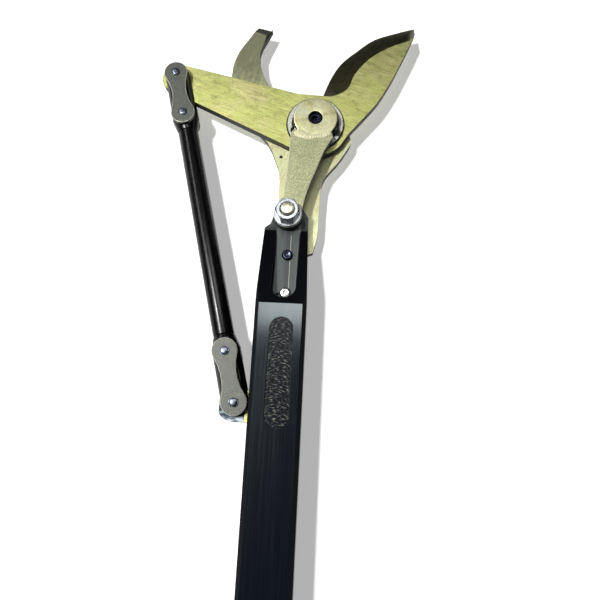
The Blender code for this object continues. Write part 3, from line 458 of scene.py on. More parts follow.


# %% [markdown]
# ### Grain, clouds and turning marks
#
# Sand-blasted plate has an even bright grain. The chain side plates are shot-blasted and oiled,
# so they are darker and matte. The slide's zinc is bluish, and beside the bar its film is thick
# and yellow. Discs, rings and nuts keep the rings that a lathe leaves. On the wide disc a painted
# sheen lies in sectors about the axis, dark, middle and light, in place of how such a face reflects light.

# %% Grain, clouds and turning marks
def blasted(name, dark, light, metallic, sizes, shadow, stops, roughness, bump):
    """An even grain from dark to light under soft clouds; sizes are those of grain and cloud,
    shadow is (share, darkest factor) of the clouds, and stops are where these begin and end."""
    plate = Finish(name, light, metallic)
    grain = plate.noise((sizes[0],) * 3)
    clouds = plate.noise((sizes[1],) * 3, 2)
    share, darkest = shadow
    colour = plate.ramp(grain, [(0.36, dark), (0.64, light)])
    cloudy = plate.ramp(clouds, [(stops[0], darkest), (stops[1], 1.0)])
    return plate.made(plate.mix(share, colour, cloudy, "MULTIPLY"), grain, roughness, bump)


def slide_zinc(name, yellow_from):
    """Three bluish greys, and yellow film from one x on."""
    zinc = Finish(name, (0.40, 0.45, 0.50), 0.9)
    clouds = zinc.noise((9, 3, 4), 4)
    greys = ((0.012, 0.018, 0.028), (0.055, 0.068, 0.080), (0.20, 0.22, 0.23))
    silver = zinc.ramp(clouds, list(zip((0.38, 0.50, 0.62), greys)))
    beside_bar = zinc.maths("GREATER_THAN", zinc.x_and_y(zinc.place())[0], yellow_from)
    colour = zinc.mix(beside_bar, silver, (0.34, 0.34, 0.13))
    return zinc.made(colour, clouds, (0.24, 0.38), (0.35, 0.10))


def turned_metal(name, colour, centre, roughness=(0.22, 0.36), metallic=1.0, shading=(0.62, 1.1),
                 strength=0.3, painted_sheen=None):
    """Rings are noise of the distance from the axis. A painted sheen is (share, dark, middle, light):
    sectors of painted sheen, noise of the direction from the axis alone."""
    metal = Finish(name, colour, metallic)
    x, y = metal.x_and_y(metal.place(centre=(centre.x, centre.y, 0)))
    squares = metal.maths("ADD", metal.maths("MULTIPLY", x, x), metal.maths("MULTIPLY", y, y))
    distance = metal.maths("SQRT", squares)
    ring_marks = metal.noise_at(metal.point(metal.maths("MULTIPLY", distance, 2.6)), 2)
    marks = metal.mix(0.5, ring_marks, metal.noise((1.6, 1.6, 1.6), 4))
    shade = metal.ramp(marks, shades(colour, *shading, start=0.38, end=0.60))
    if painted_sheen:
        share, dark, middle, light = painted_sheen
        divisor = metal.maths("MAXIMUM", distance, 0.1)
        way = [metal.maths("MULTIPLY", metal.maths("DIVIDE", value, divisor), 0.9) for value in (x, y)]
        sectors = metal.noise_at(metal.point(*way), 1)
        sheen = metal.ramp(sectors, [(0.36, dark), (0.46, middle), (0.64, light)])
        shade = metal.mix(share, shade, sheen)
    return metal.made(shade, marks, roughness, (strength, 0.04))


# %% [markdown]
# ### All finishes
#
# One table holds them, and a piece asks for its finish by name. Colours are linear, sizes and
# places are in mm, and what else a number means is told by the function that it goes to.

# %% All finishes
# painted sheen on the turned disc: dark, middle and light sectors about its axis
disc_painted_sheen = (0.4, (0.34, 0.29, 0.17), (0.74, 0.70, 0.40), (0.74, 0.80, 0.66))
finishes = {
    "blade_zinc": yellow_zinc("yellow zinc on the blade", math.radians(-18), tip_darkening=(170, 260, 0.55)),
    # painted shade: the hook darkens towards its top
    "hook_zinc": yellow_zinc("yellow zinc on the hook", math.radians(70), film=(0.70, 0.72, 0.40),
                             straw=(0.64, 0.62, 0.34), roughness=(0.32, 0.46), metallic=0.25,
                             tip_darkening=(150, 215, 0.78)),
    "disc_zinc": turned_metal("yellow zinc on the disc", (0.73, 0.71, 0.39), pivot, (0.30, 0.44),
                              metallic=0.7, painted_sheen=disc_painted_sheen),
    "lug_zinc": slide_zinc("zinc on the slide", yellow_from=-22.6),
    "ground": ground_steel("ground blade steel", math.radians(40)),
    "hook_ground": ground_steel("ground hook steel", math.radians(20), (0.09, 0.09, 0.07)),
    # dark oxide of the cut sides, made darker still as painted shade
    "cut_edge": grained("cut plate edge and painted shade", (0.022, 0.022, 0.024), 0.3, grain=(0.5, 0.5, 6.0),
                        shading=(0.5, 1.7), roughness=0.5, bump=(0.5, 0.06), specular=0.15),
    "anodised": black_anodised("black anodised aluminium", (0.0018, 0.0030, 0.0065), (0.13, 0.19), 0.8),
    "dull_black": black_anodised("dull anodised sides", (0.002, 0.002, 0.003), (0.22, 0.30), 0.05),
    "slot_floor": milled_floor("milled slot floor", ridge_x=4.25, ridge_end=57.0),
    "recess": milled_recess("milled recess", middle_x=1.5, cutter=8.9),
    "blasted": blasted("sand blasted steel", (0.17, 0.19, 0.11), (0.44, 0.44, 0.25), 0.7, sizes=(0.9, 13),
                       shadow=(0.4, 0.7), stops=(0.35, 0.65), roughness=(0.5, 0.7), bump=(0.5, 0.08)),
    "link": blasted("link plate steel", (0.030, 0.031, 0.026), (0.135, 0.14, 0.125), 0.85, sizes=(0.55, 6),
                    shadow=(0.5, 0.65), stops=(0.3, 0.7), roughness=(0.44, 0.6), bump=(0.35, 0.05)),
    "weld": bright_metal("weld bead", (0.70, 0.67, 0.42), (0.55, 0.70), size=0.8, metallic=0.15),
    "bright": bright_metal("bright zinc", (0.66, 0.67, 0.66), (0.22, 0.36)),
    "ring_steel": turned_metal("bright zinc on the ring", (0.74, 0.74, 0.64), pivot, (0.26, 0.38),
                               metallic=0.3, shading=(0.55, 1.1)),
    "washer_steel": bright_metal("zinc on the washer", (0.34, 0.35, 0.36), (0.24, 0.36)),
    "nut_steel": turned_metal("bright zinc on the nut", (0.47, 0.50, 0.55), stud, (0.20, 0.30),
                              shading=(0.80, 1.08), strength=0.08),
    "stud_steel": turned_metal("cream zinc on the stud", (0.66, 0.63, 0.48), stud),
    "pin_steel": bright_metal("polished pin", (0.74, 0.74, 0.70), (0.2, 0.3)),
    "rivet_steel": bright_metal("pressed rivet head", (0.12, 0.135, 0.165), (0.24, 0.36), size=2.0),
    # edges worn bright, made lighter still as a painted highlight on the rounds
    "worn_and_highlight_edge": bright_metal("edge worn bright and painted highlight", (0.62, 0.63, 0.52), (0.3, 0.42), size=0.8, metallic=0.5),
    "dark": bright_metal("black oxide steel", (0.030, 0.034, 0.055), (0.2, 0.34), size=1.2),
    "bronze": bright_metal("bronze", (0.55, 0.38, 0.16), (0.3, 0.45)),
    "brass": bright_metal("brass", (0.62, 0.47, 0.20), (0.22, 0.34)),
    "milled": bright_metal("milled aluminium", (0.36, 0.37, 0.37), (0.35, 0.5)),
    "gloss": black_coat("gloss black paint", (0.0015, 0.0015, 0.002), (0.20, 0.30), specular=0.2),
    "tube": black_coat("black tube coat", (0.008, 0.009, 0.012), (0.24, 0.34), (0.4, 40.0, 0.4)),
    "plastic": black_coat("black moulded plastic", (0.014, 0.014, 0.015), (0.42, 0.55), (0.5,) * 3, 0.06),
    "rubber": black_coat("black rubber", (0.018, 0.018, 0.018), (0.7, 0.85), (0.4,) * 3, 0.07),
    # painted shadow: black lumps that stand in the shaded gaps at the weld's ends
    "slag": black_coat("painted shadow lumps", (0.006, 0.005, 0.004), (0.5, 0.7), (0.8,) * 3, 0.1, 0.2),
}
print(len(finishes), "finishes")

# %% [markdown]
# ## Plates and castings: the solids with rounded edges
#
# A machined edge is never perfectly sharp: its small round catches a line of light. The solids
# come as loose triangles, so a copy is merged and its flat faces are joined again. Each of its
# sharp edges then gets a bevel weight, and a Bevel modifier rounds exactly those. The bar is one
# long extrusion, where only the long edges are rounded: a bevel on every short edge of its round
# slots would pull streaks across the large faces beside them.

# %% Dressing helpers
body_of = {node: body for body, members in frame["record"]["behaviour"]["bodies"].items() for node in members}


def merged_copy(node, sharp, shortest):
    """The solid's mesh with doubles merged, flat faces joined and its sharp edges weighted."""
    mesh = nodes[node].data.copy()
    shell = bmesh.new()
    shell.from_mesh(mesh)
    bmesh.ops.remove_doubles(shell, verts=shell.verts, dist=0.002 * mm)
    bmesh.ops.dissolve_limit(shell, angle_limit=math.radians(0.5), verts=shell.verts, edges=shell.edges)
    weights = [float(edge.calc_face_angle(0.0) > sharp and edge.calc_length() > shortest * mm)
               for edge in shell.edges]
    shell.to_mesh(mesh)
    shell.free()
    layer = mesh.attributes.new("bevel_weight_edge", "FLOAT", "EDGE")
    layer.data.foreach_set("value", weights)
    mesh.materials.clear()
    return mesh


def add_piece(name, mesh, body, finish):
    """A new piece; its finish is one name, or a tuple of names for faces that differ."""
    piece = bpy.data.objects.new(name, mesh)
    bpy.context.scene.collection.objects.link(piece)
    for each in finish if isinstance(finish, tuple) else (finish,):
        mesh.materials.append(finishes[each])
    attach(piece, body)
    return piece


def round_edges(piece, width, rim=-1):
    """Round the weighted edges; rim is the number of the material that the round itself gets."""
    edge = piece.modifiers.new("rounded edges", "BEVEL")
    edge.width = width * mm
    edge.segments = 2
    edge.material = rim
    edge.limit_method = "WEIGHT"
    flat = piece.modifiers.new("flat faces stay flat", "WEIGHTED_NORMAL")
    flat.keep_sharp = True
    flat.weight = 100


def dress(node, finish, width=0.3, shortest=0.0, rim=-1):
    """A merged copy with rounded edges and smooth shading that stands for the solid."""
    sharp = math.radians(32)
    mesh = merged_copy(node, sharp, shortest)
    mesh.shade_smooth()
    mesh.set_sharp_from_angle(angle=sharp)
    piece = add_piece(f"{node}_dressed", mesh, body_of[node], finish)
    round_edges(piece, width, rim)
    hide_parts(node)
    return piece


def face_values(piece):
    """Normals and centres of a piece's faces, as arrays; centres are in mm."""
    faces = piece.data.polygons
    normals, centres = np.empty(len(faces) * 3), np.empty(len(faces) * 3)
    faces.foreach_get("normal", normals)
    faces.foreach_get("center", centres)
    return normals.reshape(-1, 3), centres.reshape(-1, 3) / mm


def choose_finish(piece, number, wanted):
    """Give one of the piece's materials to the faces where wanted is true."""
    chosen = np.empty(len(wanted), dtype=np.int32)
    piece.data.polygons.foreach_get("material_index", chosen)
    chosen[wanted] = number
    piece.data.polygons.foreach_set("material_index", chosen)


# %% [markdown]
# ### Blade, hook, arm and bar
#
# A plate has three looks: its plated face, the ground facets that slope a little, and the dark
# cut sides. The slope of a face's normal tells them apart. On the bar the height tells: the
# floors of the slot and of the recess lie at their own heights and face forwards. The slot's
# walls are as bare as its floor, and the bar's own sides are duller than its front.

# %% Dress the plates
side_slope = 0.3                  # a side's normal leans forwards less than this
facet_slope = (0.5, 0.985)        # a ground facet's lies between these
# the rounded rims of blade and hook get the dark cut finish as painted shade along their outlines
blade = dress("cutting_blade", ("blade_zinc", "ground", "cut_edge"), 0.25, rim=2)
hook = dress("hook_plate", ("hook_zinc", "hook_ground", "cut_edge"), 0.25, rim=2)
arm = dress("front_arm", ("blasted", "cut_edge", "worn_and_highlight_edge"), 0.4, rim=2)
for plate in (blade, hook):
    forwards = face_values(plate)[0][:, 2]
    choose_finish(plate, 1, (forwards > facet_slope[0]) & (forwards < facet_slope[1]))
    choose_finish(plate, 2, np.abs(forwards) < side_slope)
choose_finish(arm, 1, np.abs(face_values(arm)[0][:, 2]) < side_slope)
print("blade", len(blade.data.polygons), "faces, hook", len(hook.data.polygons))

# %% Dress the bar
slot_middle = 1.5                 # x of the front slot and of the recess, in mm
slot_reach = 10.2                 # the slot's walls lie this near to it
recess_depth = 0.8
same_height = 0.1
bar = dress("body_bar", ("anodised", "slot_floor", "recess", "dull_black"), 0.35, shortest=12.0)
normals, centres = face_values(bar)
faces_front = normals[:, 2] > 0.99
above_floor = centres[:, 2] - slot_floor / mm
above_recess = centres[:, 2] - (span_of("body_bar")[1] - recess_depth)
in_slot = (np.abs(centres[:, 0] - slot_middle) < slot_reach) & (centres[:, 1] > 0.0) & (above_floor > 0.0)
choose_finish(bar, 3, normals[:, 2] < 0.98)
choose_finish(bar, 1, faces_front & (np.abs(above_floor) < same_height))
choose_finish(bar, 1, in_slot & (np.abs(normals[:, 2]) < side_slope))
choose_finish(bar, 2, faces_front & (np.abs(above_recess) < same_height))
print("bar", len(normals), "faces")

# %% [markdown]
# ### Slide, forks, handle and the pieces inside
#
# These have one finish each, apart from the link plates, whose edges are worn bright and made
# lighter still as a painted highlight. The pieces inside the bar are never seen, so they keep their
# solid's mesh and only get the right metal or rubber, for whoever takes the tool apart.

# %% Dress the rest
for node, finish in (("carriage_lug", "lug_zinc"), ("end_cap", "anodised"), ("pivot_bolt", "dark"),
                     ("upper_fork", "gloss"), ("lower_fork", "gloss"), ("trigger", "gloss"),
                     ("valve_handle", "plastic"), ("pressure_fitting", "brass"), ("return_fitting", "brass")):
    dress(node, finish)
for node in ("upper_link_front", "upper_link_back", "lower_link_front", "lower_link_back"):
    dress(node, ("link", "worn_and_highlight_edge"), 0.45, rim=1)
inner_finishes = {
    "bronze": ["hub_bush", "lever_bush", "lug_bush", "slide_ring"],
    "bright": ["piston_rod", "piston", "piston_nut", "pressure_pipe", "return_pipe"],
    "milled": ["rod_gland"],
    "rubber": ["gland_seal", "piston_seal"],
}
for finish, members in inner_finishes.items():
    for node in members:
        nodes[node].data.materials.clear()
        nodes[node].data.materials.append(finishes[finish])
print("inner solids", sum(len(members) for members in inner_finishes.values()))

# %% [markdown]
# ## Round pieces: rings about an axis
#
# Discs, rings, screws, pins, the rod and the pole are all turned, so one surface serves them all:
# rings of points about an axis. Ring i has a radius and a height, and either may change round the
# ring, which gives hexagons, threads and knurls from the same grid. A solid's own copy would show
# the few flat sides that it has for the sake of the simulation; a new grid is smooth.

# %% Rings about an axis
def ring_angles(sides):
    return np.arange(sides) * 2 * np.pi / sides


def stacked(values, sides):
    """Rows from numbers, or from arrays that go round: each one becomes a row of values."""
    return np.stack([np.broadcast_to(np.asarray(value, float), sides) for value in values])


def rings(radius, height, origin, way=(0, 0, 1)):
    """Point (i, j) = origin + height·way + radius·(cos a·side + sin a·other), in metres.

    radius and height are rows in mm; a is the angle of column j, and side and other are square
    to the axis and to each other.
    """
    angle = ring_angles(radius.shape[1])
    way = np.array(way, float) / np.linalg.norm(way)
    side = np.array((1.0, 0, 0)) if abs(way[2]) > 0.5 else np.array((way[1], -way[0], 0))
    other = np.cross(way, side)
    out = np.cos(angle)[:, None] * side + np.sin(angle)[:, None] * other
    return np.array(origin) + mm * (radius[..., None] * out + height[..., None] * way)


def grid_faces(rows, columns):
    """Quads between neighbouring rows; the last column joins the first."""
    row, column = np.meshgrid(np.arange(rows - 1), np.arange(columns), indexing="ij")
    beside = (column + 1) % columns
    quads = np.stack((row * columns + column, row * columns + beside,
                      (row + 1) * columns + beside, (row + 1) * columns + column), axis=-1)
    return quads.reshape(-1, 4)


def surface_mesh(name, points, sharp=35):
    """A mesh over points[row, column]; rows that meet are merged, and faces turned outwards."""
    rows, columns, _ = points.shape
    faces = grid_faces(rows, columns)
    mesh = bpy.data.meshes.new(name)
    mesh.vertices.add(rows * columns)
    mesh.vertices.foreach_set("co", points.astype(np.float32).ravel())
    mesh.loops.add(faces.size)
    mesh.loops.foreach_set("vertex_index", faces.astype(np.int32).ravel())
    mesh.polygons.add(len(faces))
    mesh.polygons.foreach_set("loop_start", np.arange(0, faces.size, 4, dtype=np.int32))
    mesh.update(calc_edges=True)
    shell = bmesh.new()
    shell.from_mesh(mesh)
    bmesh.ops.remove_doubles(shell, verts=shell.verts, dist=0.001 * mm)
    bmesh.ops.recalc_face_normals(shell, faces=shell.faces)
    shell.to_mesh(mesh)
    shell.free()
    mesh.shade_smooth()
    mesh.set_sharp_from_angle(angle=math.radians(sharp))
    return mesh


def rounded_profile(corners, closed=True, steps=5):
    """Corners (radius, height, rounding) to a smooth profile.

    Each corner becomes a quadratic Bezier arc that starts and ends at its rounding's distance
    along the two sides: (1-t)²·start + 2t(1-t)·corner + t²·end.
    """
    corners = np.array(corners, float)
    place, rounding = corners[:, :2], corners[:, 2:]
    before, after = np.roll(place, 1, axis=0) - place, np.roll(place, -1, axis=0) - place
    start = place + rounding * before / np.linalg.norm(before, axis=1, keepdims=True)
    end = place + rounding * after / np.linalg.norm(after, axis=1, keepdims=True)
    t = np.linspace(0, 1, steps + 1)[:, None]
    arcs = (1 - t) ** 2 * start[:, None] + 2 * t * (1 - t) * place[:, None] + t ** 2 * end[:, None]
    profile = arcs.reshape(-1, 2)
    return np.vstack((profile, profile[:1])) if closed else profile


def turned(name, profile, origin, way=(0, 0, 1), sides=96):
    """A profile of (radius, height) rows turned about an axis."""
    rows = np.repeat(profile[:, :, None], sides, axis=2)
    return surface_mesh(name, rings(rows[:, 0], rows[:, 1], origin, way))


def stand_in(node, mesh, finish):
    """A new surface that stands for a solid, with the solid's body and finish slot."""
    piece = add_piece(f"{node}_turned", mesh, body_of[node], finish)
    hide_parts(node)
    return piece


def foot_of(place):
    """The point of the plane z = 0 under a place, from which heights along +Z are counted."""
    return (place.x, place.y, 0.0)


# %% [markdown]
# ### Disc, ring and washers
#
# The disc's front edge is broken by a wide round. The thrust ring has a chamfer along its outer
# edge, and the washers only have their corners taken off. The turned sides of disc and ring are
# given the dark finish of cut metal as painted shade, and the ring's face close to the disc as a painted
# shadow.

# %% Disc, ring and washers
def flat_ring(node, inner, outer, finish, edge=0.3, front_edge=None, chamfer=0.0, split=None):
    """A ring as high as its solid, with its corners rounded, and a chamfer along its front outer
    edge if one is given. A split is a radius at which the front face is cut in two."""
    low, high = span_of(node)
    front_edge = edge if front_edge is None else front_edge
    corners = [(inner, low, edge), (outer, low, edge), (outer, high - chamfer, front_edge)]
    if chamfer:
        corners.append((outer - chamfer, high, front_edge))
    if split:
        corners.append((split, high, 0.0))
    corners.append((inner, high, edge))
    mesh = turned(node, rounded_profile(corners), foot_of(middle_of(node)), sides=128)
    return stand_in(node, mesh, finish)


def darken_sides(piece, level):
    """Every face that looks less than this much forwards gets the finish of cut metal, as painted shade."""
    piece.data.materials.append(finishes["cut_edge"])
    choose_finish(piece, 1, face_values(piece)[0][:, 2] < level)


# painted shadow: the ring's face nearer the pivot than this is made dark, beside the disc
painted_shadow_reach = 19.6
disc = flat_ring("hub_disc", 5.8, 18.05, "disc_zinc", 0.35, 1.3)
ring = flat_ring("thrust_ring", 11.0, 24.1, "ring_steel", 0.3, 0.15, chamfer=1.2, split=painted_shadow_reach)
# painted shade: the turned sides of disc and ring get the dark cut finish
darken_sides(disc, 0.75)
darken_sides(ring, 0.85)
ring_centres = face_values(ring)[1]
from_pivot = np.hypot(ring_centres[:, 0] - pivot.x / mm, ring_centres[:, 1] - pivot.y / mm)
choose_finish(ring, 1, from_pivot < painted_shadow_reach - 0.1)
flat_ring("pivot_washer", 5.8, 12.9, "bright")
flat_ring("arm_washer", 5.3, 10.7, "washer_steel", 0.25, 0.45)
print("disc stands at", round(top_of("hub_disc"), 4))

# %% [markdown]
# ### Hexagon nut and threaded stud
#
# A nut is a hexagon whose corners are turned off by a cone, and the cone meets each side in a
# curve. On a grid of rings that comes by itself: the side's distance changes round the ring as the
# half width over a cosine, and the cone's height falls with that distance. The stud's thread is a
# ring radius that falls in a V; the V's place moves by one pitch in a turn.

# %% Nut and stud
def hexagon_radius(across, angle):
    """Distance to a hexagon's side: half the width across flats over the cosine of the angle
    from the nearest side's middle, with a corner at angle 0."""
    return across / 2 / np.cos(angle % (np.pi / 3) - np.pi / 6)


def nut_mesh(node, across, bore, sides=144):
    low, high = span_of(node)
    side = hexagon_radius(across, ring_angles(sides))
    cone_start = across * 0.468
    drop = (side - cone_start) * math.tan(math.radians(30))
    radius = stacked((bore, cone_start, side, side, cone_start, bore + 0.9, bore, bore), sides)
    height = stacked((low, low, low + drop, high - drop, high, high, high - 0.8, low), sides)
    return surface_mesh(node, rings(radius, height, foot_of(middle_of(node))), sharp=20)


def thread_radius(height, angle, outer, depth, pitch):
    """A V thread: the radius falls from the crest to the root and back within each pitch, and
    the crest climbs by one pitch in a turn."""
    phase = height / pitch - angle / (2 * np.pi)
    return outer - depth * (1 - np.abs(2 * (phase - np.floor(phase)) - 1))


def threaded_stud(node, crest=4.95, depth=0.75, pitch=1.5, thread_start=33.0, chamfer=1.1, sides=96):
    """A low round head at the back, a plain shank, the thread from thread_start on, and a cone
    at its end that the last crests run into."""
    low, end = span_of(node)
    angle = ring_angles(sides)
    climb = np.arange(thread_start, end - 0.25, 0.1)
    thread = thread_radius(climb[:, None], angle[None, :], crest, depth, pitch)
    thread = np.minimum(thread, crest - np.maximum(climb - (end - chamfer), 0)[:, None] * 0.95)
    foot = stacked((0, 7.4, 8.0, 8.0, 7.6, crest, crest), sides)
    foot_height = stacked((low, low, low + 0.6, low + 3.6, low + 4.0, low + 4.0, thread_start - 0.1), sides)
    cap = stacked((3.3, 2.2, 1.0, 0.0), sides)
    cap_height = stacked((end - 0.14, end - 0.05, end, end), sides)
    radius = np.vstack((foot, thread, cap))
    height = np.vstack((foot_height, np.broadcast_to(climb[:, None], thread.shape), cap_height))
    return surface_mesh(node, rings(radius, height, foot_of(middle_of(node))), sharp=28)


nut = stand_in("arm_nut", nut_mesh("arm_nut", 17.0, 5.15), "nut_steel")
stud_piece = stand_in("arm_bolt", threaded_stud("arm_bolt"), "stud_steel")
print("nut", len(nut.data.polygons), "faces, stud", len(stud_piece.data.polygons))

# %% [markdown]
# ### Socket screws and pins
#
# A socket screw's head is a knurled cylinder with a hexagon pressed into it. The knurl is a small
# wave of the radius, and the hexagon is the nut's formula again, this time as a hole. A rivet's
# head was pressed over by a tool that leaves a low dome inside a groove.

# %% Socket screws
def socket_screw(node, axis, way, shank, head, head_height, key, finish, knurl=0.0, crown=0.25):
    """Shank tip, shank, head and hexagon socket as one row of rings; heights run from the head's
    top, which is 0, down to minus the solid's length along its axis."""
    sides = 144
    angle = ring_angles(sides)
    low, high = span_of(node, axis)
    tip, seat = low - high, -head_height
    top = middle_of(node)
    top[axis] = (high if way > 0 else low) * mm
    with_ridge_highlight = head - knurl * (0.5 + 0.5 * np.cos(36 * angle))
    hexagon = hexagon_radius(key, angle)
    round_off = head_height * crown
    socket_end = -0.62 * head_height
    radius = stacked((0, shank - 0.4, shank, shank, head - 0.2, with_ridge_highlight, with_ridge_highlight, head - round_off,
                      head - round_off * 1.5, key * 0.68, hexagon, hexagon, 0), sides)
    height = stacked((tip, tip, tip + 0.4, seat, seat, seat + 0.2, -round_off, -0.1 * round_off, 0, 0,
                      -0.2, socket_end, socket_end - 0.5), sides)
    direction = [way if each == axis else 0 for each in range(3)]
    return stand_in(node, surface_mesh(node, rings(radius, height, top, direction), sharp=25), finish)


to_front, to_back = (2, 1), (1, -1)          # the axis and the way that a screw's head looks
socket_screw("tail_screw", *to_front, 3.0, 4.2, 2.4, key=3.6, finish="dark", crown=0.45)
for number in (1, 2, 3, 4):
    node = f"cap_screw_{number}"
    socket_screw(node, *to_back, 2.0, 3.4, 4.0, key=3.0, finish="dark", knurl=0.12, crown=0.12)
socket_screw("pole_screw", *to_front, 2.5, 4.0, 2.4, key=3.0, finish="bright", crown=0.4)
print("six socket screws")

# %% Pins
def rivet_head(face, rise):
    """Half profile of a riveted end, from its flat underside to the middle of the dome."""
    return [(3.0, face, 0.0), (3.55, face, 0.1), (3.55, face + rise * 0.45, 0.2),
            (3.22, face + rise * 0.5, 0.1), (3.02, face + rise * 0.2, 0.1),
            (2.78, face + rise * 0.72, 0.3), (1.7, face + rise, 0.8), (0.0, face + rise * 1.02, 0.0)]


def pin(node, corners, origin, way=(0, 0, 1), sides=64, finish="pin_steel"):
    """A pin from the corners of its half profile; the profile starts and ends on the axis."""
    return stand_in(node, turned(node, rounded_profile(corners, closed=False), origin, way, sides), finish)


rivet_rise = 1.2
for node in ("lug_pin", "lower_link_pin", "upper_link_pin"):
    place = middle_of(node)
    front = rivet_head((top_of(node) - bar_middle) / mm - rivet_rise, rivet_rise)
    back = [(r, -z, rounding) for r, z, rounding in reversed(front)]
    pin(node, back + front, (place.x, place.y, bar_middle), finish="rivet_steel")
for node, way in (("lever_pin_front", 1), ("lever_pin_back", -1)):
    place = middle_of(node)
    stub = [(0.0, 4.1, 0.0), (3.0, 4.1, 0.3)] + rivet_head(11.6, rivet_rise)
    pin(node, stub, (place.x, place.y, bar_middle), (0, 0, way), finish="rivet_steel")

low, high = span_of("tail_pin")
tail_pin = [(0.0, low, 0.0), (3.0, low, 0.4), (3.0, high - 2.4, 0.0), (4.35, high - 2.4, 0.1),
            (4.35, high - 1.4, 0.5), (3.6, high - 0.3, 0.8), (1.7, high, 0.3), (1.0, high - 0.7, 0.3),
            (0.0, high - 0.8, 0.0)]
pin("tail_pin", tail_pin, foot_of(middle_of("tail_pin")), sides=96)
low, high = span_of("trigger_pin")
hinge_pin = [(0.0, low, 0.0), (1.9, low, 0.4), (1.9, high, 0.4), (0.0, high, 0.0)]
pin("trigger_pin", hinge_pin, foot_of(middle_of("trigger_pin")), sides=48)
stem, (low, high) = middle_of("valve_stem"), span_of("valve_stem", 0)
groove = [(3.9, 9.0, 0.2), (3.5, 9.2, 0.1), (3.5, 10.6, 0.1), (3.9, 10.8, 0.2)]
valve_stem = [(0.0, 0.0, 0.0), (3.9, 0.0, 1.6)] + groove + [(3.9, high - low, 0.4), (0.0, high - low, 0.0)]
pin("valve_stem", valve_stem, (low * mm, stem.y, stem.z), (1, 0, 0))
print("seven pins, and the valve's stem", round(high - low, 1), "mm long")

# %% [markdown]
# ### Rod, pole and grip
#
# The rod and the pole are tubes. The grip is soft rubber pulled over the pole: narrow ribs run
# round it, broken by ten flutes along it, and a collar stops the hand at each end. Both ribs and
# flutes are waves in the ring's radius.

# %% Rod, pole and grip
rod_start, rod_length = 51.3, 174.3          # the start is counted from the lug's pin
to_handle = (0, -1, 0)
grip_sunk, rib_depth, flute_depth = 0.5, 0.9, 0.6     # below the grip's collars


def tube(node, inner, outer, length, origin, way, finish, edge):
    corners = [(inner, 0.0, 0.2), (outer, 0.0, edge), (outer, length, edge), (inner, length, 0.2)]
    return stand_in(node, turned(node, rounded_profile(corners), origin, way), finish)


def grip_mesh(name, origin, inner, outer, length, collar=8.0, rib=5.0, flutes=10, sides=120):
    """Radius = outer - rib wave - flute wave between two smooth collars; the tube is closed."""
    angle = ring_angles(sides)
    along = np.arange(0.0, length + 0.01, 0.5)
    from_end = np.minimum(along, length - along)
    inside = np.clip((from_end - collar) / 2.0, 0, 1)[:, None]
    rib_wave = (0.5 + 0.5 * np.cos(2 * np.pi * along / rib))[:, None] ** 0.7
    flute_wave = np.clip(np.cos(flutes * angle), 0, 1)[None, :] ** 6
    end_round = np.clip(1.6 - from_end, 0, 1.6)[:, None]
    depth = grip_sunk + rib_depth * (1 - rib_wave) + flute_depth * flute_wave
    surface = outer - inside * depth - end_round ** 2 / 2.4
    height = np.broadcast_to(along[:, None], surface.shape)
    start = stacked((inner,), sides)
    radius = np.vstack((start, surface, start, start))
    height = np.vstack((stacked((0,), sides), height, stacked((length, 0), sides)))
    return surface_mesh(name, rings(radius, height, origin, to_handle), sharp=50)


start = lug_pin + rod_way * rod_start * mm
tube("rod_bar", 5.3, 8.2, rod_length, (start.x, start.y, bar_middle), rod_way, "gloss", 0.6)
low, high = span_of("pole_tube", 1)
tube("pole_tube", 12.0, 14.0, high - low, (0, high * mm, bar_middle), to_handle, "tube", 0.5)
low, high = span_of("front_grip", 1)
grip = grip_mesh("front_grip", (0, high * mm, bar_middle), 14.3, 18.1, high - low)
stand_in("front_grip", grip, "rubber")
print("grip", len(grip.polygons), "faces")

# %% [markdown]
# ## The weld
#
# The arm is welded to the disc by one bead that runs along the arm's end. A bead is a low ridge of
# overlapping scales: each drop of metal froze as an arc before the next one came. Its path is an
# arc about the pivot, its section an ellipse, and the scales are a wave whose phase is bent
# across the bead, so that each scale bulges against the welding direction. At each end of the
# bead a black lump in the gap between the arm and the disc is a painted shadow.

# %% Weld bead
bead_start, bead_end = 218.0, 316.0          # degrees about the pivot
bead_inner = 15.3
bead_outer = (23.4, 23.4, 22.9, 22.0, 21.3, 20.5, 20.1, 19.1, 19.5, 20.3, 20.3, 20.4, 20.8)
bead_low, bead_high = 30.2, 33.7
path_radius = 19.0                           # the scales are counted along this arc
scale_length, scale_bend = 2.3, 0.45         # in mm, and in shares of one scale
scale_width, scale_rise = 0.07, 0.20         # what a scale adds to the bead's half sizes


def weld_bead(name, around=28, count=260):
    """Point = pivot + radius·(cos a, sin a), radius = middle + half width·cos b, height by sin b.

    a runs along the bead and b round its section; both half sizes shrink to nothing at the ends.
    """
    s = np.linspace(0, 1, count)[:, None]
    b = ring_angles(around)[None, :]
    a = np.radians(bead_start + (bead_end - bead_start) * s)
    outer = np.interp(s, np.linspace(0, 1, len(bead_outer)), bead_outer)
    middle_radius, half_width = (outer + bead_inner) / 2, (outer - bead_inner) / 2
    middle_height, half_height = (bead_low + bead_high) / 2, (bead_high - bead_low) / 2
    closing = np.sqrt(np.clip(1 - np.abs(2 * s - 1) ** 14, 0, 1))
    travelled = np.radians(abs(bead_end - bead_start)) * path_radius * s
    phase = travelled / scale_length - scale_bend * np.cos(b) ** 2 + 0.12 * np.sin(travelled * 1.7)
    scales = 0.5 + 0.5 * np.cos(2 * np.pi * phase)
    risen = 1 + scale_rise * scales * (np.sin(b) > 0)
    radius = middle_radius + closing * half_width * (1 + scale_width * scales) * np.cos(b)
    height = middle_height + closing * half_height * risen * np.sin(b)
    points = np.stack((radius * np.cos(a), radius * np.sin(a), height), axis=-1) * mm
    return surface_mesh(name, points + np.array(foot_of(pivot)), sharp=70)


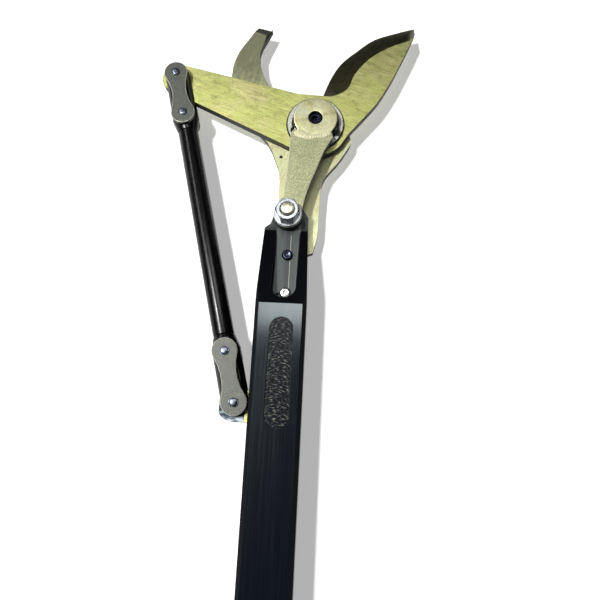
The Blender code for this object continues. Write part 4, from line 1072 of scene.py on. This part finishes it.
bead = weld_bead("weld_bead")
add_piece("weld_bead", bead, body_of["front_arm"], "weld")
print("weld bead", len(bead.polygons), "faces")

# %% Painted shadow lumps
shadow_lump_low, shadow_lump_high = 24.2, 31.6


def slag(name, angle, distance, size, sides=24):
    """Radius = size·(1 + lumps)·sin t, height = low + rise·(1 - cos t)/2, t over half a turn."""
    t = np.linspace(0, np.pi, 15)[:, None]
    around = ring_angles(sides)[None, :]
    lumps = 0.10 * np.sin(3 * around + 2 * t) + 0.06 * np.sin(5 * around - 3 * t)
    radius = size * (1 + lumps) * np.sin(t)
    height = shadow_lump_low + (shadow_lump_high - shadow_lump_low) * (1 - np.cos(t)) / 2 * np.ones_like(around)
    centre = Vector(foot_of(pivot)) + Vector((math.cos(angle), math.sin(angle), 0.0)) * distance * mm
    return surface_mesh(name, rings(radius, height, centre), sharp=70)


# black lumps at both ends of the bead: painted shadow in the gaps beside the disc
for name, angle, distance, size in (("painted_shadow_left", 207, 20.2, 1.9), ("painted_shadow_right", 334, 19.6, 2.7)):
    lump = slag(name, math.radians(angle), distance, size)
    add_piece(name, lump, body_of["front_arm"], "slag")
    print(name, len(lump.polygons), "faces")

# %% [markdown]
# ## The slot's fillet
#
# The cutter that milled the slot in the ramp had a round nose, so the wall runs into the floor in
# a small hollow. It is a strip carried round the slot's outline: its section is a quarter circle
# that touches wall and floor, and it shrinks where the sloping ramp leaves less wall.

# %% Fillet along the slot
slot_half = 9.6
slot_low, slot_high = 14.1, 60.9             # y of the round end's centre and of the open end
slot_lean = math.radians(-1.2)               # about the tail screw
lean_centre = (slot_middle, 40.7)
fillet_size = 1.6
ramp_length, ramp_drop = 61.0, 13.7


def slot_path(straight=60, bend=60):
    """Left side downwards, the round end, right side upwards; with the inward direction."""
    down = np.linspace(slot_high, slot_low, straight)
    turn = np.linspace(np.pi, 2 * np.pi, bend)[1:-1]
    left, right = np.full(straight, -slot_half), np.full(straight, slot_half)
    x = np.concatenate((left, slot_half * np.cos(turn), right))
    y = np.concatenate((down, slot_low + slot_half * np.sin(turn), down[::-1]))
    inward_x = np.concatenate((np.full(straight, 1.0), -np.cos(turn), np.full(straight, -1.0)))
    inward_y = np.concatenate((np.zeros(straight), -np.sin(turn), np.zeros(straight)))
    cosine, sine = math.cos(slot_lean), math.sin(slot_lean)
    rotation = np.array(((cosine, -sine), (sine, cosine)))
    path = np.stack((x, y - lean_centre[1]), axis=-1) @ rotation.T + np.array(lean_centre)
    return path, np.stack((inward_x, inward_y), axis=-1) @ rotation.T


def fillet_mesh(name, path, inward, floor):
    """Section point = wall + u·inward, height = floor + v: (u, v) = r·(1 - cos t, 1 - sin t) over
    a quarter turn, then the corner behind it. r is no more than the wall that is left."""
    t = np.linspace(0, np.pi / 2, 9)
    u = np.concatenate((1 - np.cos(t), (-0.03,)))
    v = np.concatenate((1 - np.sin(t), (-0.03,)))
    wall_left = np.maximum(ramp_length - path[:, 1], 0.0) * ramp_drop / ramp_length
    r = np.minimum(fillet_size, wall_left)[:, None]
    flat = path[:, None, :] + (r * u)[..., None] * inward[:, None, :]
    points = np.concatenate((flat, floor + (r * v)[..., None]), axis=-1)
    ends = points[[0, -1]].mean(axis=1, keepdims=True).repeat(points.shape[1], axis=1)
    points = np.concatenate((ends[:1], points, ends[1:]))
    return surface_mesh(name, points * mm, sharp=40)


fillet = fillet_mesh("slot_fillet", *slot_path(), slot_floor / mm)
add_piece("slot_fillet", fillet, body_of["body_bar"], "slot_floor")
print("fillet", len(fillet.polygons), "faces")

# %% [markdown]
# ## Punch mark
#
# The hook has one centre-punch mark beside the disc. A punch throws up a small rim round its pit.

# %% Punch mark
punch_place = (-0.0085, 0.1289, top_of("hook_plate"))
pit_and_rim = [(0.0, 0.02, 0.0), (0.7, 0.16, 0.1), (1.0, 0.20, 0.2), (1.5, 0.0, 0.3), (1.5, -0.3, 0.0),
               (0.0, -0.3, 0.0)]
mark = turned("punch_mark", rounded_profile(pit_and_rim, closed=False), punch_place, sides=40)
add_piece("punch_mark", mark, body_of["hook_plate"], "cut_edge")
print("punch mark", len(mark.polygons), "faces")
